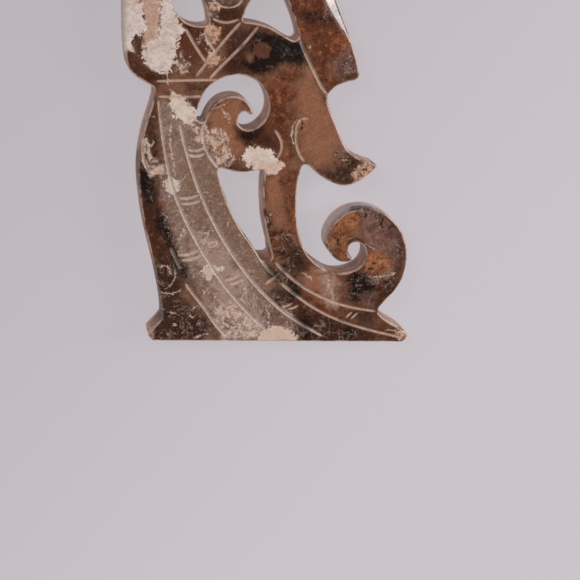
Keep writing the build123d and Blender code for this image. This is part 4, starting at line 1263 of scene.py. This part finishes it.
def jade_material():
    """Weathered nephrite: brown stone with russet, black and grey stains, chalky patches and pale lines."""
    r = Recipe("weathered_nephrite")
    cloud, patchy, ragged = r.noise("cloud"), r.noise("patchy"), r.noise("ragged")
    feathery, crumbs, grit = r.noise("feathery"), r.noise("crumbs"), r.noise("grit")
    both = r.times(r.plus(patchy, feathery), 0.5)
    drifting = r.times(r.plus(patchy, ragged), 0.5)

    # The stone and its soft stains.
    r.colour = r.blend(r.step(cloud, 0.40, 0.60), "base_dark", "base_light")
    r.lay("russet_deep", r.step(both, 0.46, 0.60), 0.5)
    r.lay("tan", r.zone("tan", patchy))
    russet, orange = r.zone("russet", ragged), r.zone("orange", ragged)
    rust = r.mottled("russet", patchy, 0.40, 0.60)
    r.lay(r.blend(r.times(r.step(both, 0.50, 0.62), 0.5), rust, "orange"), russet)
    r.lay(r.mottled("orange", both, 0.42, 0.56), orange)
    haze = r.zone("haze", patchy)
    r.lay(r.mottled("haze", both, 0.38, 0.62), haze)
    r.lay("mist", r.zone("mist", patchy))
    r.lay("olive", r.zone("olive", patchy))
    r.lay(r.mottled("mauve", both, 0.42, 0.58), r.zone("mauve", ragged))
    dark, black = r.zone("dark", drifting), r.zone("black", drifting)
    r.lay(r.blend(r.step(both, 0.50, 0.60), "dark", "russet_deep"), dark)
    r.lay("black", black)
    r.lay("slate", r.zone("slate", feathery))
    r.lay("spot", r.zone("spot", feathery))

    # Dark threads, clumps and specks, and pale scratches and flecks.
    stained = r.plus(r.times(r.most(russet, orange, dark), 0.6), 0.14, clamp=True)
    r.lay("black", r.ridge(r.noise("threads"), 0.030), stained)
    r.lay("black", r.step(feathery, 0.49, 0.59), r.step(r.field("speckle"), 0.15, 0.70), 0.78)
    scratches = r.times(r.ridge(r.noise("scratches"), 0.020), r.step(r.field("speckle"), 0.2, 0.8))
    r.lay("pale", scratches, r.step(patchy, 0.46, 0.54), 0.6)
    r.lay("dark", r.step(crumbs, 0.58, 0.66), stained)
    r.lay("haze", r.step(r.noise("flecks"), 0.56, 0.66), r.step(r.noise("fleck_beds"), 0.46, 0.60), 0.38)

    # The walls, painted paler on the side turned to the light, their feet with painted light, the pale rim
    # band of wear and painted highlight, and the painted shade under it.
    side, deep = r.field("side"), r.field("deep")
    shade = r.zone("shade", patchy)
    wall = r.blend(shade, r.mottled("wall", patchy, 0.42, 0.58), "dark")
    # Painted reflection: the scroll's outer wall is painted a pale grey.
    wall = r.blend(r.zone("painted_wall_sheen", patchy), wall, "sheen_grey")
    # Painted light and painted reflection: walls turned towards the key light and the camera take more of the
    # pale wall colour.
    painted_wall_light = r.plus(r.times(r.step(r.field("open"), 0.25, 0.75), 0.42), 0.30)
    r.lay(wall, r.step(side, 0.6, 1.0), painted_wall_light)
    # Painted light along the walls' feet, in the pale edge colour, stronger on the side turned to the light.
    r.lay("edge", r.step(side, 0.4, 0.8), r.step(deep, 0.55, 1.0), painted_wall_light)
    # A pale band along the front rim, broken by noise: wear with a painted highlight, weaker in the painted
    # shade zone.
    rim = r.times(r.step(side, 0.02, 0.14), r.step(deep, 0.16, 0.10))
    worn_and_highlit_rim = r.times(rim, r.step(r.noise("rim_wear_and_glint"), 0.34, 0.56), r.less(1.0, r.times(shade, 0.8)))
    r.lay("edge", worn_and_highlit_rim, 0.8)
    r.lay("dark", r.step(deep, 0.10, 0.16), r.step(deep, 0.34, 0.18), 0.45)
    r.lay("pink", r.zone("pink", ragged))

    # Spots in the haze, and the pale crusts.
    r.lay("pale", r.step(r.noise("light_specks"), 0.60, 0.68), haze, 0.7)
    r.lay("haze_deep", r.step(r.noise("stain_spots"), 0.52, 0.62), haze, 0.7)
    r.lay("pale", r.step(r.noise("lichen"), 0.58, 0.64), haze, 0.5)
    rosy = r.times(r.step(feathery, 0.34, 0.54), r.zone("rosy", feathery))
    cream, chalk = r.zone("cream", feathery), r.zone("chalk", feathery)
    r.lay("rosy", rosy)
    r.lay(r.mottled("cream", both, 0.40, 0.60), cream)
    r.lay("pale", r.zone("pale", ragged), r.plus(r.times(r.step(feathery, 0.44, 0.54), 0.85), 0.12))
    r.lay(r.mottled("chalk", both, 0.40, 0.60), chalk)
    r.lay("rosy", rosy, r.times(chalk, 0.6))

    # The pale fill of the incised lines, the fine cracks and the veins.
    pressed = r.less(r.field("line"), r.times(r.less(1.0, haze), 0.18))
    fill = r.times(r.step(pressed, 0.12, 0.70), r.step(r.noise("fill"), 0.24, 0.46))
    filled = r.times(fill, r.less(0.85, r.times(black, 0.6)))
    r.lay(r.blend(haze, "line_warm", "line"), filled)
    r.lay("black", r.step(r.field("crack"), 0.15, 0.7), r.step(feathery, 0.36, 0.48), 0.85)
    vein = r.times(r.step(r.field("vein"), 0.2, 0.7), r.step(crumbs, 0.38, 0.52))
    r.lay("pale", vein, r.less(0.8, r.times(black, 0.6)))

    # Fine light and dark grain over all, weaker on the crusts.
    crusted = r.most(chalk, cream)
    value = r.add("ShaderNodeMapRange", {
        "Value": r.times(r.plus(feathery, r.plus(crumbs, grit)), 1 / 3), "From Min": 0.38, "From Max": 0.62,
        "To Min": 0.64, "To Max": 1.36,
    })
    fine = r.add("ShaderNodeHueSaturation", {
        "Value": value.outputs["Result"], "Color": r.colour, "Fac": r.less(1.0, r.times(crusted, 0.55)),
    })

    # The polish, which the crusts, lines, walls and the pale rim band of wear and painted highlight lack.
    matt = r.most(crusted, r.most(r.field("line"), r.times(worn_and_highlit_rim, 0.6)))
    rough = r.add("ShaderNodeMapRange", {"Value": matt, "To Min": 0.22, "To Max": 0.74})
    uneven = r.plus(r.times(r.less(ragged, 0.5), 0.4), r.times(r.step(side, 0.85, 1.0), 0.25))

    # The grain of the surface, higher where it is crusted or filled.
    crust = r.plus(r.times(r.most(crusted, filled), 0.4), 0.3)
    height = r.times(r.plus(r.times(crumbs, 0.8), r.times(grit, 0.5)), crust)
    bump = r.add("ShaderNodeBump", {
        "Strength": 0.22, "Distance": 0.05 * MM, "Height": r.plus(height, r.times(chalk, 0.25)),
    })
    r.put(r.shader, {
        "Base Color": fine.outputs["Color"], "Roughness": r.plus(rough.outputs["Result"], uneven, clamp=True),
        "Normal": bump.outputs["Normal"], "IOR": 1.58, "Specular IOR Level": 0.38, "Subsurface Weight": 0.12,
        "Subsurface Radius": (1.0, 0.55, 0.35), "Subsurface Scale": 0.8 * MM,
    })
    return r.material


def floor_material():
    """A plain pale floor that glows a little, more so towards one corner."""
    r = Recipe("pale_floor")
    across = r.add("ShaderNodeVectorMath", {0: r.place, 1: FLOOR_FALL}, operation="DOT_PRODUCT")
    glow = r.blend(r.step(across.outputs["Value"], -1.0, 1.0), GLOW_WEAK, GLOW_STRONG)
    r.put(r.shader, {
        "Base Color": FLOOR_COLOUR, "Roughness": 0.9, "Specular IOR Level": 0.1, "Emission Color": glow,
        "Emission Strength": 0.53,
    })
    return r.material


def add_camera():
    """The camera at the photograph's angle."""
    data = bpy.data.cameras.new("camera")
    data.sensor_width = SENSOR_MM
    data.lens = FOCAL_PX / FRAME_PX * SENSOR_MM
    data.clip_start = NEAREST_SEEN_M
    camera = add_object("camera", data)
    level_right = Vector((0.0, 1.0, 0.0)).cross(TO_EYE).normalized()
    level_up = TO_EYE.cross(level_right)
    right = level_right * math.cos(ROLL) + level_up * math.sin(ROLL)
    up = level_up * math.cos(ROLL) - level_right * math.sin(ROLL)
    turn = Matrix((right, up, TO_EYE)).transposed()
    camera.matrix_world = Matrix.Translation((AIM + TO_EYE * EYE_DISTANCE) * MM) @ turn.to_4x4()
    return camera


def softbox(name, spot, width, height, power):
    """A flat rectangular light at a spot, facing the plaque, in metres and watts."""
    data = bpy.data.lights.new(name, "AREA")
    data.shape = "RECTANGLE"
    data.size = width
    data.size_y = height
    data.energy = power
    light = add_object(name, data)
    light.rotation_euler = Vector(spot).to_track_quat("Z", "Y").to_euler()
    light.location = spot


plaque = build_plaque()
plaque.data.materials.append(jade_material())
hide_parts("dancer_plaque")
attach(plaque, "root")

half = FLOOR_SIZE / 2
floor_mesh = bpy.data.meshes.new("floor")
floor_mesh.from_pydata(
    [(across * half, along * half, -FLOOR_DROP) for across, along in ((-1, -1), (1, -1), (1, 1), (-1, 1))],
    [], [(0, 1, 2, 3)],
)
floor_mesh.materials.append(floor_material())
floor = add_object("floor", floor_mesh)

bpy.context.scene.camera = add_camera()
softbox("key_left", (-0.55, 0.45, 0.75), 0.36, 0.36, 5.2)
softbox("rim_right", (0.857, 0.214, 0.469), 0.36, 0.46, 9.5)
softbox("sheen", (0.544, -0.020, 0.839), 0.25, 0.25, 0.6)
softbox("fill_foot", (-0.25, -0.8, 0.5), 0.6, 0.6, 3.2)

world = bpy.data.worlds.new("studio")
world.use_nodes = True
backdrop = world.node_tree.nodes["Background"]
backdrop.inputs["Color"].default_value = (0.93, 0.90, 0.94, 1.0)
backdrop.inputs["Strength"].default_value = 0.06
bpy.context.scene.world = world
bpy.context.scene.view_settings.view_transform = "Standard"
bpy.context.scene.view_settings.look = "None"
